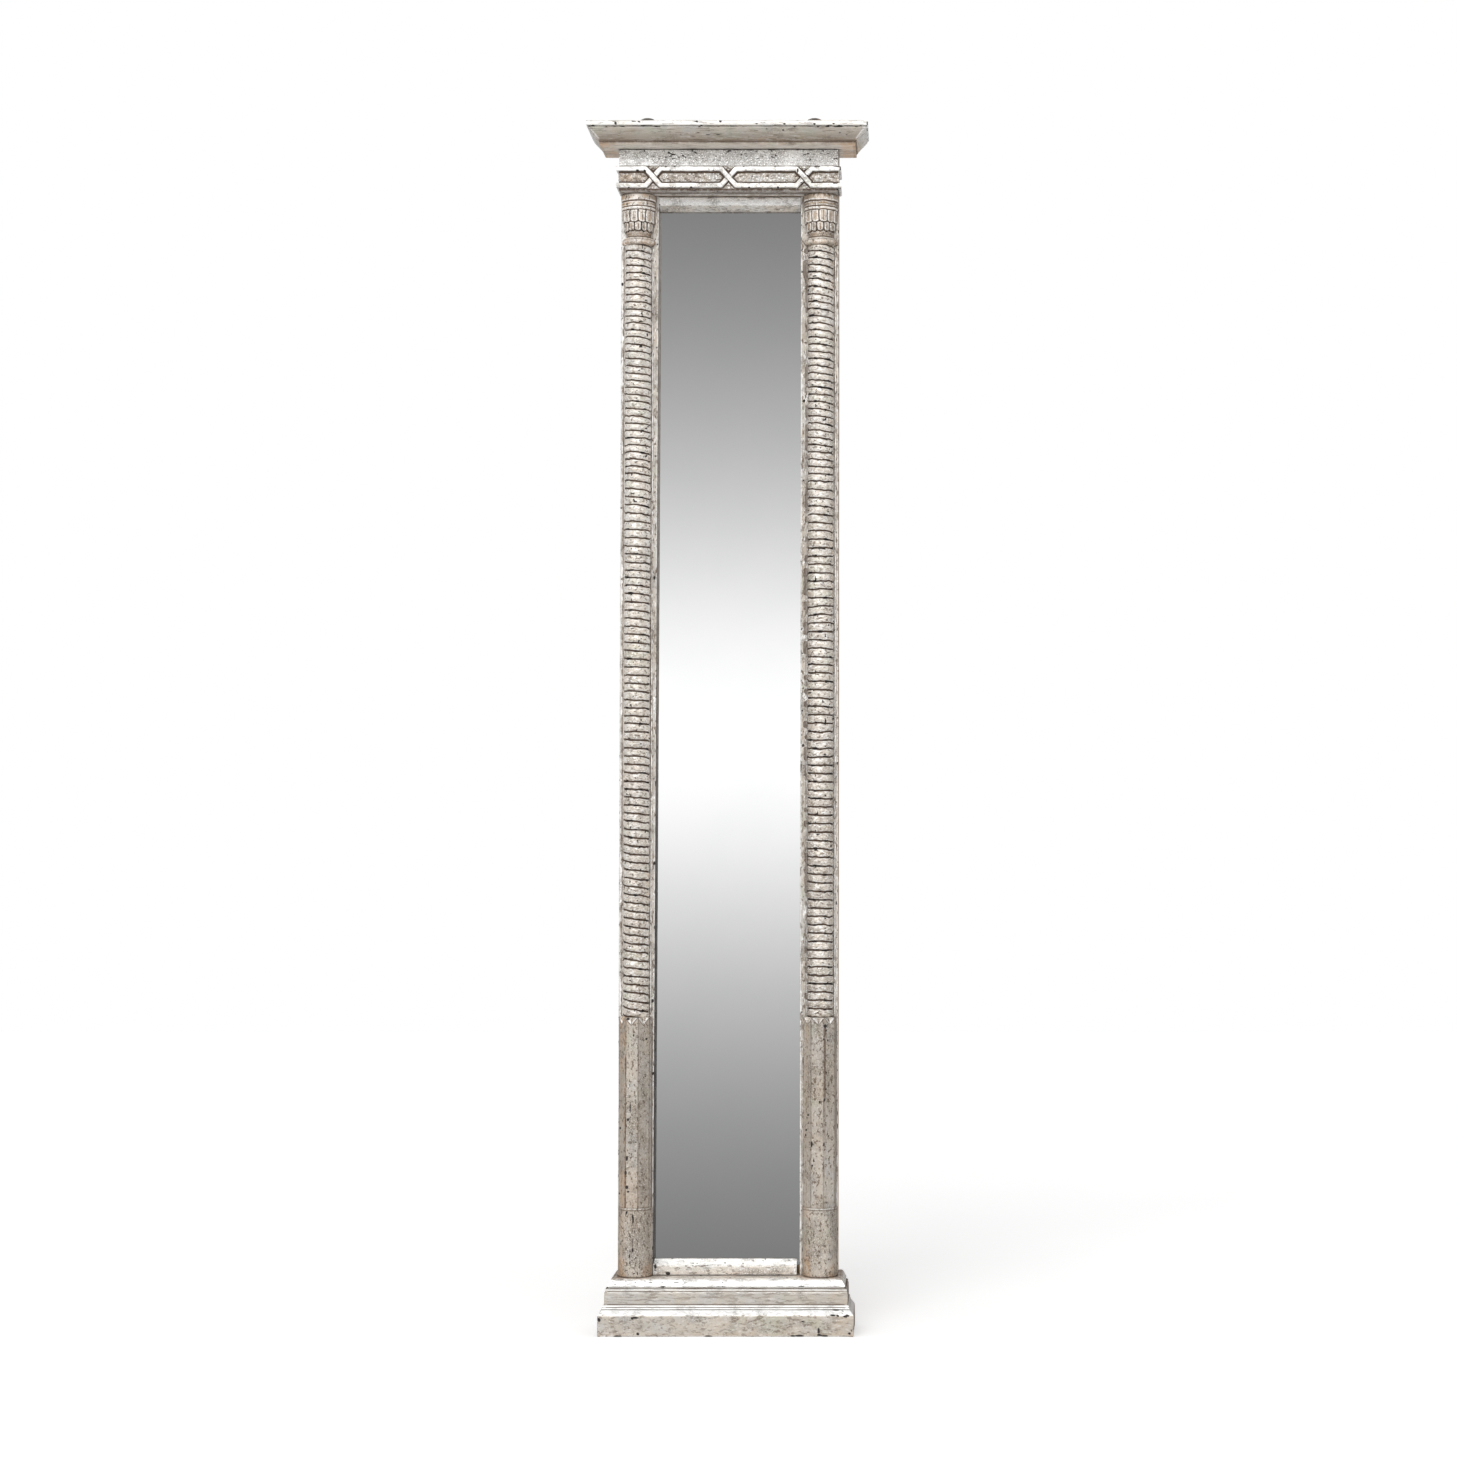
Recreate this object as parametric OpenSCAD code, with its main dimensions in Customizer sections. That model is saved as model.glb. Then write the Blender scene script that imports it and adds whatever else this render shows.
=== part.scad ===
// Tall narrow pier mirror in an architectural frame: stepped plinth, two
// half columns with ropework shafts and leaf capitals, strapwork frieze and
// moulded cornice.  Millimetres.  X is to the right, Y runs from the front
// towards the wall, Z is up.  The origin is on the floor, at the middle of
// the width and half way between the front of the cornice and the back of
// the hanging rings' eyes.
// Depths are written as p, the distance forward of the back of the frame.

/* [Frame] */
// Width over the two face stiles, which is also the width of the frieze
frame_w = 264; // [256:1:276]
// Width of the opening between the face stiles, where the glass shows
opening_w = 172.6; // [166:0.2:176]
// How much narrower the left face stile is at its foot than at its head
stile_taper = 3.4; // [0:0.2:4]
// Height of the columns, capital and base included
column_h = 1303.7; // [1250:0.1:1380]
// Thickness of the back frame that everything is planted on
back_t = 28; // [26:0.5:32]
// Thickness of the face stiles
face_t = 20; // [18:0.5:24]

/* [Plinth] */
// Height of the stepped plinth
plinth_h = 66; // [62:0.5:74]
// How far the shelf of the plinth stands in front of the face stiles
plinth_shelf = 21; // [21:0.2:26]
// Outward step of the lowest course beyond the stiles
plinth_step = 20; // [20:0.2:24]

/* [Columns] */
// Distance between the axes of the two half columns
column_span = 221.6; // [220.8:0.2:222]
// Radius of the ropework shafts over the coils
shaft_r = 16.3; // [15:0.1:17]
// Depth of the groove between two coils
groove_d = 1.7; // [0.8:0.1:2.2]
// Coil pitch in the top part of both shafts
coil_upper = 8.69; // [8:0.01:10]
// Coil pitch in the lower part of the left shaft
coil_left = 9.76; // [9:0.01:11]
// Coil pitch in the lower part of the right shaft
coil_right = 10.2; // [9:0.01:11]
// Height of the octagonal length under the ropework
octagon_h = 227.2; // [200:0.2:260]
// Turn of the left octagon about its axis, in degrees
turn_left = -12; // [-15:1:15]
// Turn of the right octagon about its axis, in degrees
turn_right = -6; // [-15:1:15]
// Height of the plain round foot of each column
foot_h = 82.4; // [70:0.1:100]
// Radius of the plain round foot
foot_r = 20.5; // [20:0.1:21]

/* [Frieze and cornice] */
// Height of the frieze box
frieze_h = 51.9; // [50:0.1:60]
// How far the frieze stands in front of the face stiles
frieze_out = 26.5; // [22:0.5:32]
// Height of the cornice moulding
cornice_h = 26.4; // [24:0.1:32]
// Outward reach of the cornice beyond the frieze
cornice_out = 36.6; // [34:0.1:42]
// Distance between two crossings of the strapwork
strap_pitch = 91; // [84:1:96]
// Slope of the straps where they cross, in degrees
strap_angle = 48; // [45:1:52]
// Width of one strap
strap_w = 5.9; // [5:0.1:6.6]
// How far the straps stand out from the frieze
strap_t = 3.6; // [2:0.1:5]

/* [Mirror glass] */
// Thickness of the silvered glass plate
glass_t = 4; // [3:0.5:6]
// Cover of the frame over each edge of the glass
glass_lap = 7.7; // [6:0.1:8]

/* [Hanging rings] */
// Position of the left ring, from the middle of the frame
ring_left_x = -105; // [-112:1:-102]
// Position of the right ring, from the middle of the frame
ring_right_x = 101; // [101:1:112]
// Radius of the bow of a hanging ring, to the middle of its wire
ring_r = 14; // [13:0.5:16]
// Length of the straight legs of a hanging ring
ring_leg = 16.5; // [10:0.5:18]
// Radius of the ring's wire
wire_r = 1.6; // [1.3:0.1:1.7]

/* [Hidden] */
$fn = 64;

silver = [0.72, 0.70, 0.66];
silver_dark = [0.62, 0.59, 0.54];
pine = [0.46, 0.34, 0.22];
iron = [0.16, 0.15, 0.14];

eps = 0.01;
hw = frame_w / 2;               // outer face of the stiles and of the frieze
ow = opening_w / 2;             // sight edge
face_p = back_t + face_t;       // front of the face stiles
frieze_p = face_p + frieze_out; // front of the frieze
z_col = plinth_h;               // foot of the columns
z_frz = plinth_h + column_h;    // underside of the frieze
z_cor = z_frz + frieze_h;       // underside of the cornice
z_top = z_cor + cornice_h;      // top of the cornice and of the back frame
col_x = column_span / 2;
glass_hw = ow + glass_lap;      // half width of the glass
stile_in = glass_hw + 0.6;      // inner face of the back stiles
sight_h = 18;                   // height of the sill strip
lintel_h = 16;                  // height of the lintel strip
glass_z0 = z_col + sight_h - 8;
glass_z1 = z_frz - lintel_h + 8;
rail_z0 = glass_z0 - 0.6;       // top of the bottom rail
rail_z1 = glass_z1 + 0.8;       // underside of the top rail
board_t = 6;                    // thickness of the backboards
board_lap = 10;                 // their rebate in the back frame

// hanging rings: the bar of each ring turns in an eye rolled from its strap
eye_r = 3.7;
eye_bore = wire_r + 0.08;
eye_w = 7;
eye_z = z_top - 5.3;
plate_t = 2.4;
ring_corner = 4;

// the back of the frame lies here, so that the origin is at mid depth
reach = frieze_p + cornice_out;
y_back = (reach - 2 * eye_r) / 2;
function Y(p) = y_back - p;

// a board between two values of X, of depth p and of Z
module board(x0, x1, p0, p1, z0, z1)
    translate([x0, Y(p1), z0]) cube([x1 - x0, p1 - p0, z1 - z0]);

// everything outside the mitre line on one side, from the corner (cx, pf)
module mitre_out(cx, pf)
    translate([cx, Y(pf), -10]) rotate([0, 0, 45]) translate([0, -400, 0]) cube([400, 800, z_top + 40]);

// a length of moulding across the front, mitred at both ends
// pts: outline as [outward offset, height], cx: half width, pf: depth of offset 0
module front_run(pts, cx, pf, reach_t) {
    difference() {
        translate([-cx - reach_t - 1, Y(pf), 0])
            rotate([90, 0, 90])
                linear_extrude(2 * (cx + reach_t + 1))
                    polygon([for (q = pts) [-q[0], q[1]]]);
        mitre_out(cx, pf);
        mirror([1, 0, 0]) mitre_out(cx, pf);
    }
}

// the matching return on the right side, from depth p0 forward to the mitre
module side_run(pts, cx, pf, p0, reach_t) {
    intersection() {
        translate([cx, Y(p0), 0])
            rotate([90, 0, 0])
                linear_extrude(pf - p0 + reach_t + 1)
                    polygon(pts);
        mitre_out(cx, pf);
    }
}

// ---------------------------------------------------------------- back frame
tenon_l = 22;
tenon_h0 = 14;
tenon_t = 9;

module back_stile_right_shape() {
    difference() {
        board(stile_in, hw, 0, back_t, 0, z_top);
        // rebate for the backboards
        board(stile_in - 1, stile_in + board_lap, -1, board_t, rail_z0 - board_lap, rail_z1 + board_lap);
        // mortises for the two rails
        board(stile_in - 1, stile_in + tenon_l + 0.5, 9.9, 19.1 + eps, rail_z0 - 52.1, rail_z0 - 17.9);
        board(stile_in - 1, stile_in + tenon_l + 0.5, 9.9, 19.1 + eps, rail_z1 + 17.9, rail_z1 + 66.1);
    }
}
module back_stile_right() { color(pine) back_stile_right_shape(); }
module back_stile_left() { color(pine) mirror([1, 0, 0]) back_stile_right_shape(); }

module back_rail_top() {
    color(pine) difference() {
        union() {
            board(-stile_in, stile_in, 0, back_t, rail_z1, z_top);
            board(-stile_in - tenon_l, stile_in + tenon_l, 10, 19, rail_z1 + 18, rail_z1 + 66);
        }
        board(-stile_in - 1, stile_in + 1, -1, board_t, rail_z1 - 1, rail_z1 + board_lap);
    }
}
module back_rail_bottom() {
    color(pine) difference() {
        union() {
            board(-stile_in, stile_in, 0, back_t, 6, rail_z0);
            board(-stile_in - tenon_l, stile_in + tenon_l, 10, 19, rail_z0 - 52, rail_z0 - 18);
        }
        board(-stile_in - 1, stile_in + 1, -1, board_t, rail_z0 - board_lap, rail_z0 + 1);
    }
}

// ---------------------------------------------------------------- face frame
module face_stile_right() { color(silver) board(ow, hw, back_t, face_p, z_col, z_frz); }
module face_stile_left() {
    color(silver) translate([0, y_back - back_t, 0]) rotate([90, 0, 0]) linear_extrude(face_p - back_t)
        polygon([[-hw, z_col], [-ow - stile_taper, z_col], [-ow, z_frz], [-hw, z_frz]]);
}

// sight strips at the head and foot of the glass, with a splayed face
module strip(x0, x1, pts) {
    translate([x0, y_back, 0]) rotate([90, 0, 90]) linear_extrude(x1 - x0)
        polygon([for (q = pts) [-q[0], q[1]]]);
}
module lintel_strip() {
    color(silver) strip(-ow + 0.1, ow - 0.6,
        [[back_t, z_frz - lintel_h], [back_t + 2, z_frz - lintel_h], [face_p, z_frz - 10.6],
         [face_p, z_frz], [back_t, z_frz]]);
}
module sill_strip() {
    x_in = -ow - stile_taper * (1 - sight_h / (z_frz - z_col));
    color(silver) strip(x_in + 0.1, ow - 3.6,
        [[back_t, z_col], [face_p, z_col], [face_p, z_col + 12.4],
         [back_t + 2, z_col + sight_h], [back_t, z_col + sight_h]]);
}

// ---------------------------------------------------------------- columns
oct_a = 19.1;                       // half the width across the flats
stop_h = 9;                         // height of the pointed stops
stop_d = 2.7;                       // their depth at the top
stop_m = stop_d / (oct_a * tan(22.5)) * cos(atan(stop_d / stop_h));
z_oct = z_col + foot_h;             // foot of the octagonal length
z_rope0 = z_oct + octagon_h;        // foot of the ropework
cap_h = 61.1;                       // height of the capital
z_rope1 = z_frz - cap_h;            // top of the ropework
z_join = z_rope1 - 288;             // height where the coil pitch changes

// half turn of a profile, standing out from the face stiles at x
module half_round(x, pts)
    translate([x, Y(face_p), 0]) rotate([0, 0, 180]) rotate_extrude(angle = 180) polygon(pts);

module column_foot(x) {
    color(silver) half_round(x, [[0, z_col], [foot_r - 0.4, z_col], [foot_r, z_col + 0.8],
        [foot_r, z_oct - 0.9], [foot_r - 0.9, z_oct], [0, z_oct]]);
}
module column_foot_left() column_foot(-col_x);
module column_foot_right() column_foot(col_x);

module column_octagon(x, turn) {
    color(silver) difference() {
        translate([x, Y(face_p), z_oct]) linear_extrude(octagon_h) intersection() {
            rotate(22.5 + turn) circle(r = oct_a / cos(22.5), $fn = 8);
            translate([-30, -60]) square([60, 60]);
        }
        // each flat is cut back to the round shaft in a pointed stop
        for (i = [-2:2]) translate([x, Y(face_p), 0]) rotate([0, 0, turn + 45 * i])
            translate([0, -oct_a, z_rope0 - stop_h]) rotate([-atan(stop_d / stop_h), 0, 0])
                linear_extrude(40, center = true)
                    polygon([[0, 0], [-24, -24 * stop_m], [24, -24 * stop_m]]);
    }
}
module column_octagon_left() column_octagon(-col_x, turn_left);
module column_octagon_right() column_octagon(col_x, turn_right);

// outline of one coil between z0 and z1, groove to groove
function coil(z0, z1) = let(h = z1 - z0, g = shaft_r - groove_d)
    [[g, z0], [shaft_r - 0.45 * groove_d, z0 + 0.10 * h], [shaft_r, z0 + 0.32 * h],
     [shaft_r, z0 + 0.62 * h], [shaft_r - 0.42 * groove_d, z0 + 0.88 * h]];

module rope_shaft(x, pitch) {
    n_up = round((z_rope1 - z_join) / coil_upper);
    n_lo = round((z_join - z_rope0) / pitch);
    up = (z_rope1 - z_join) / n_up;
    lo = (z_join - z_rope0) / n_lo;
    levels = concat([for (i = [0:n_lo - 1]) z_rope0 + i * lo], [for (i = [0:n_up]) z_join + i * up]);
    rings = [for (i = [0:len(levels) - 2]) each coil(levels[i], levels[i + 1])];
    color(silver) half_round(x, concat([[0, z_rope0]], rings,
        [[shaft_r - groove_d, z_rope1], [0, z_rope1]]));
}
module rope_shaft_left() rope_shaft(-col_x, coil_left);
module rope_shaft_right() rope_shaft(col_x, coil_right);

// astragal, neck, two rows of leaves, bead and abacus, from the shaft up
module capital(x) {
    z = z_rope1;
    color(silver_dark) half_round(x, [[0, z], [16.2, z], [18.4, z + 0.9], [19.5, z + 2.8], [19.5, z + 5.2],
        [18.3, z + 7.6], [16, z + 8.6], [14.6, z + 10], [14.6, z + 13], [15.6, z + 15.2],
        [17.1, z + 16.4], [16.9, z + 24], [17.6, z + 26.2], [19.2, z + 27.2], [19.1, z + 33],
        [19.8, z + 40.8], [19.2, z + 41.8], [20.6, z + 42.9], [20.8, z + 44.4], [20.2, z + 45.5],
        [19.6, z + 46.1], [20.3, z + 47], [20.5, z + 51.4], [19.6, z + 52.2], [20.9, z + 53.2],
        [21.2, z + 54], [21.2, z + 59.4], [20.6, z + 60.6], [19.6, z + cap_h], [0, z + cap_h]]);
}
module capital_left() capital(-col_x);
module capital_right() capital(col_x);

// ---------------------------------------------------------------- frieze
frieze_pts = [[-20, z_frz], [0, z_frz], [0, z_cor], [-20, z_cor]];
module frieze_front() { color(silver) front_run(frieze_pts, hw, frieze_p, 0); }
module frieze_right() { color(silver) side_run(frieze_pts, hw, frieze_p, back_t, 0); }
module frieze_left() { mirror([1, 0, 0]) frieze_right(); }
module frieze_soffit() { color(silver_dark) board(-hw + 20, hw - 20, back_t, frieze_p - 20, z_frz, z_frz + 8); }

module glue_block(x0, x1, p0, p1, z0, z1) { board(x0, x1, p0, p1, z0, z1); }
module frieze_glue_blocks() {
    color(pine) for (s = [-1, 1], k = [0, 1])
        glue_block(s > 0 ? hw - 38 : -hw + 20, s > 0 ? hw - 20 : -hw + 38,
            k == 0 ? back_t : frieze_p - 38, k == 0 ? back_t + 6 : frieze_p - 20, z_frz + 8, z_cor - 6);
}

// strapwork: two straps that cross over and change places
strap_z1 = z_frz + 30.4 - strap_w / 2;  // middle of the top strap
strap_z0 = z_frz + 10.2 - strap_w / 2;  // middle of the bottom strap
strap_h = (strap_z1 - strap_z0) / 2;
strap_dx = strap_h / tan(strap_angle);  // where the crossing straps leave the level ones
module strap_line(a, b) {
    // one straight strap from a to b, with square ends
    d = b - a;
    l = norm(d);
    translate(a) rotate(atan2(d[1], d[0])) translate([0, -strap_w / 2]) square([l, strap_w]);
}
// outline of the crossing at x: the two diagonals
module crossing(x) {
    zm = (strap_z0 + strap_z1) / 2;
    intersection() {
        union() {
            strap_line([x - 2 * strap_dx, zm + 2 * strap_h], [x + 2 * strap_dx, zm - 2 * strap_h]);
            strap_line([x - 2 * strap_dx, zm - 2 * strap_h], [x + 2 * strap_dx, zm + 2 * strap_h]);
        }
        translate([x - 3 * strap_h, strap_z0 - strap_w / 2]) square([6 * strap_h, 2 * strap_h + strap_w]);
    }
}
module strap_flat() {
    c = [-strap_pitch, 0, strap_pitch];
    for (z = [strap_z0, strap_z1]) {
        strap_line([-hw - strap_t, z], [c[0] - strap_dx, z]);
        strap_line([c[0] + strap_dx, z], [c[1] - strap_dx, z]);
        strap_line([c[1] + strap_dx, z], [c[2] - strap_dx, z]);
        strap_line([c[2] + strap_dx, z], [hw + strap_t, z]);
    }
    for (x = c) crossing(x);
}
module strapwork_front() {
    color(silver) difference() {
        translate([0, Y(frieze_p), 0]) rotate([90, 0, 0]) linear_extrude(strap_t) strap_flat();
        mitre_out(hw, frieze_p);
        mirror([1, 0, 0]) mitre_out(hw, frieze_p);
    }
}
module strapwork_right() {
    color(silver) for (z = [strap_z0, strap_z1])
        side_run([[0, z - strap_w / 2], [strap_t, z - strap_w / 2], [strap_t, z + strap_w / 2], [0, z + strap_w / 2]],
            hw, frieze_p, back_t, strap_t);
}
module strapwork_left() { mirror([1, 0, 0]) strapwork_right(); }

// ---------------------------------------------------------------- cornice
co = cornice_out;
cornice_pts = [[-18, z_cor], [co - 15.1, z_cor], [co - 15.1, z_cor + 3], [co - 15.8, z_cor + 3.3],
    [co - 15.8, z_cor + 3.9], [co - 14.6, z_cor + 4.1], [co - 1.4, z_top - 7.8], [co - 1.8, z_top - 7.3],
    [co - 1.8, z_top - 6.8], [co, z_top - 6.6], [co, z_top - 0.8], [co - 0.8, z_top], [-10, z_top],
    [-10, z_top - 10], [-18, z_top - 10]];
module cornice_front() { color(silver) front_run(cornice_pts, hw, frieze_p, co); }
module cornice_right() { color(silver) side_run(cornice_pts, hw, frieze_p, back_t, co); }
module cornice_left() { mirror([1, 0, 0]) cornice_right(); }
module dust_board() {
    color(pine) board(-hw + 10.3, hw - 10.3, back_t + 0.2, frieze_p - 10.3, z_top - 10, z_top - 4);
}

// ---------------------------------------------------------------- plinth
pl_p = face_p + plinth_shelf;       // depth of offset 0 for the plinth
st = plinth_step;
z_sh = plinth_h - 9;                // underside of the shelf
z_up = plinth_h - 34.6;             // underside of the upper course
shelf_pts = [[0, z_sh], [st - 10.15, z_sh], [st - 14.8, plinth_h], [0, plinth_h]];
upper_pts = [[0, z_up], [st - 5.2, z_up], [st - 5.2, z_up + 1.6], [st - 5.9, z_up + 2], [st - 5.9, z_up + 3.2],
    [st - 6.6, z_up + 3.6], [st - 6.6, z_up + 5.2], [st - 7.3, z_up + 6.6], [st - 8.3, z_sh - 5],
    [st - 8.6, z_sh - 4.6], [st - 8.2, z_sh - 3.6], [st - 8.2, z_sh - 2.6], [st - 9, z_sh - 1.6],
    [st - 10.6, z_sh - 1.2], [st - 10.6, z_sh], [0, z_sh]];
base_pts = [[0, 0], [st, 0], [st - 0.3, z_up - 5.5], [st - 0.7, z_up - 4.9], [st - 4.7, z_up - 0.4],
    [st - 4.9, z_up], [0, z_up]];

module plinth_shelf_front() {
    color(silver) {
        front_run(shelf_pts, hw, pl_p, st);
        board(-hw, hw, back_t, pl_p + eps, z_sh, plinth_h);
    }
}
module plinth_shelf_right() { color(silver) side_run(shelf_pts, hw, pl_p, 0, st); }
module plinth_shelf_left() { mirror([1, 0, 0]) plinth_shelf_right(); }

module plinth_upper_front() {
    color(silver) {
        front_run(upper_pts, hw, pl_p, st);
        board(-hw, hw, pl_p - 12, pl_p + eps, z_up, z_sh);
    }
}
module plinth_upper_right() { color(silver) side_run(upper_pts, hw, pl_p, 0, st); }
module plinth_upper_left() { mirror([1, 0, 0]) plinth_upper_right(); }

module plinth_base_front() {
    color(silver) {
        front_run(base_pts, hw, pl_p, st);
        board(-hw, hw, pl_p - 12, pl_p + eps, 0, z_up);
    }
}
module plinth_base_right() { color(silver) side_run(base_pts, hw, pl_p, 0, st); }
module plinth_base_left() { mirror([1, 0, 0]) plinth_base_right(); }

module plinth_glue_blocks() {
    color(pine) for (x = [-hw, -12, hw - 24])
        glue_block(x, x + 24, back_t, pl_p - 12, 6, z_sh);
}

// ---------------------------------------------------------------- glass and back
module mirror_glass() {
    color([0.75, 0.78, 0.8]) board(-glass_hw, glass_hw, back_t - glass_t, back_t, glass_z0, glass_z1);
}
module glass_blocks() {
    n = 5;
    color(pine) {
        for (s = [-1, 1], i = [0:n - 1]) {
            z = glass_z0 + 60 + i * (glass_z1 - glass_z0 - 120) / (n - 1);
            glue_block(s > 0 ? stile_in - 10 : -stile_in, s > 0 ? stile_in : -stile_in + 10,
                11, back_t - glass_t, z - 20, z + 20);
        }
        glue_block(-20, 20, 11, back_t - glass_t, rail_z0, rail_z0 + 10);
        glue_block(-20, 20, 11, back_t - glass_t, rail_z1 - 10, rail_z1);
    }
}
bb_z0 = rail_z0 - board_lap + 0.3;
bb_z1 = rail_z1 + board_lap - 0.3;
bb_h = (bb_z1 - bb_z0) / 3;
module backboard(i) {
    color(pine) board(-stile_in - board_lap + 0.4, stile_in + board_lap - 0.4, 0, board_t,
        bb_z0 + i * bb_h + (i > 0 ? 0.4 : 0), bb_z0 + (i + 1) * bb_h - (i < 2 ? 0.4 : 0));
}
module backboard_lower() backboard(0);
module backboard_middle() backboard(1);
module backboard_upper() backboard(2);

// a round-shanked piece driven in from the back, head outside
module driven(x, z, r, len, head_r, head_t, p_head = 0)
    translate([x, Y(p_head), z]) rotate([90, 0, 0]) {
        translate([0, 0, -eps]) cylinder(r = r, h = len, $fn = 24);
        translate([0, 0, -head_t]) cylinder(r = head_r, h = head_t, $fn = 24);
    }
module backboard_nails() {
    color(iron) for (i = [0:2], s = [-1, 1], t = [0.08, 0.5, 0.92])
        driven(s * (stile_in + 5), bb_z0 + (i + t) * bb_h, 0.9, 15, 2.2, 0.8);
}
module frame_screws() {
    zs = [z_col + 40, z_col + 330, z_col + 650, z_col + 970, z_frz - 60];
    color(iron) for (s = [-1, 1], z = zs) difference() {
        driven(s * (hw - 13), z, 2.2, back_t + face_t - 4, 4.2, 0.9);
        translate([s * (hw - 13) - 0.5, Y(-0.3), z - 5]) cube([1, 2, 10]);
    }
}

// ---------------------------------------------------------------- hanging rings
module hanger_strap(x) {
    color(iron) difference() {
        union() {
            translate([x, Y(0), 0]) rotate([90, 0, 0]) mirror([0, 0, 1]) linear_extrude(plate_t)
                polygon([[-3.5, eye_z], [-3.5, eye_z - 3.4], [-7.5, eye_z - 8.2], [-7.5, eye_z - 47],
                    [-4.5, eye_z - 52], [4.5, eye_z - 52], [7.5, eye_z - 47], [7.5, eye_z - 8.2],
                    [3.5, eye_z - 3.4], [3.5, eye_z]]);
            translate([x - eye_w / 2, Y(-eye_r), eye_z]) rotate([0, 90, 0]) cylinder(r = eye_r, h = eye_w);
        }
        translate([x - eye_w, Y(-eye_r), eye_z]) rotate([0, 90, 0]) cylinder(r = eye_bore, h = 2 * eye_w);
        for (d = [14.4, 40]) translate([x, Y(2), eye_z - d]) rotate([-90, 0, 0]) cylinder(r = 1.9, h = 12, $fn = 24);
    }
}
module hanger_strap_left() hanger_strap(ring_left_x);
module hanger_strap_right() hanger_strap(ring_right_x);

// D-shaped ring: straight bar in the eye, rounded corners, legs and a bow
module hanger_ring(x) {
    half = ring_r - ring_corner;
    color(iron) translate([x, Y(-eye_r), eye_z]) {
        translate([-half, 0, 0]) rotate([0, 90, 0]) cylinder(r = wire_r, h = 2 * half, $fn = 32);
        for (s = [0, 1]) mirror([s, 0, 0]) {
            translate([half, 0, ring_corner]) rotate([90, 0, 0]) rotate([0, 0, -90])
                rotate_extrude(angle = 90) translate([ring_corner, 0]) circle(r = wire_r, $fn = 32);
            translate([ring_r, 0, ring_corner]) cylinder(r = wire_r, h = ring_leg, $fn = 32);
        }
        translate([0, 0, ring_corner + ring_leg]) rotate([90, 0, 0])
            rotate_extrude(angle = 180) translate([ring_r, 0]) circle(r = wire_r, $fn = 32);
    }
}
module hanger_ring_left() hanger_ring(ring_left_x);
module hanger_ring_right() hanger_ring(ring_right_x);

module hanger_screws() {
    color(iron) for (x = [ring_left_x, ring_right_x], d = [14.4, 40]) difference() {
        driven(x, eye_z - d, 1.7, 20, 3.4, 1.6, -plate_t);
        translate([x - 0.4, Y(-plate_t - 0.9), eye_z - d - 5]) cube([0.8, 2, 10]);
    }
}

back_stile_left();
back_stile_right();
back_rail_top();
back_rail_bottom();
face_stile_left();
face_stile_right();
lintel_strip();
sill_strip();
column_foot_left();
column_foot_right();
column_octagon_left();
column_octagon_right();
rope_shaft_left();
rope_shaft_right();
capital_left();
capital_right();
frieze_front();
frieze_left();
frieze_right();
frieze_soffit();
frieze_glue_blocks();
strapwork_front();
strapwork_left();
strapwork_right();
cornice_front();
cornice_left();
cornice_right();
dust_board();
plinth_shelf_front();
plinth_shelf_left();
plinth_shelf_right();
plinth_upper_front();
plinth_upper_left();
plinth_upper_right();
plinth_base_front();
plinth_base_left();
plinth_base_right();
plinth_glue_blocks();
mirror_glass();
glass_blocks();
backboard_lower();
backboard_middle();
backboard_upper();
backboard_nails();
frame_screws();
hanger_strap_left();
hanger_strap_right();
hanger_ring_left();
hanger_ring_right();
hanger_screws();
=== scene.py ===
import math

import bpy
import numpy as np
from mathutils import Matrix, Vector
from mathutils.geometry import tessellate_polygon


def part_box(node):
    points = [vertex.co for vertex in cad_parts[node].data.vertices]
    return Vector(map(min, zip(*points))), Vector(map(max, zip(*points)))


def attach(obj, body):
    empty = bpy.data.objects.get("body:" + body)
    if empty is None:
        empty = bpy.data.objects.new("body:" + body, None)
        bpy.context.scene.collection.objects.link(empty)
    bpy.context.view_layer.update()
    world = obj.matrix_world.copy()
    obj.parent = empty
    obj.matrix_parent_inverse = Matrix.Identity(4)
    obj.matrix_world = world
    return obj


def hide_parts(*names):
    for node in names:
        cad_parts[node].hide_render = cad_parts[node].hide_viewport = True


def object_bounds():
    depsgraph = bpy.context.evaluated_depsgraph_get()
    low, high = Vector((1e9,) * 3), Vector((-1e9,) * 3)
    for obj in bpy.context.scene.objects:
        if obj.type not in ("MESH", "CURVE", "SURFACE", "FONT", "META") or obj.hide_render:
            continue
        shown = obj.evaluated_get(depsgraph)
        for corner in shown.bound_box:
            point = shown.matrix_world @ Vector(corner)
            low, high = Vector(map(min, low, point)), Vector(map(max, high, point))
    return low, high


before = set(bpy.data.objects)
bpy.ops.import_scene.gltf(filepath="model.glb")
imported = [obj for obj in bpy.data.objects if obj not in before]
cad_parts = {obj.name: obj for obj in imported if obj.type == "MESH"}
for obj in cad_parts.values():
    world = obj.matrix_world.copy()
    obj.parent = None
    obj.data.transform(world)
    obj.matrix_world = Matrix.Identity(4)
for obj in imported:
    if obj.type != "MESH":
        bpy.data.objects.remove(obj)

CAD_LO, CAD_HI = [Vector(c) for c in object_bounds()]
LO = np.array(CAD_LO) * 1000.0
HI = np.array(CAD_HI) * 1000.0

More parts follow.
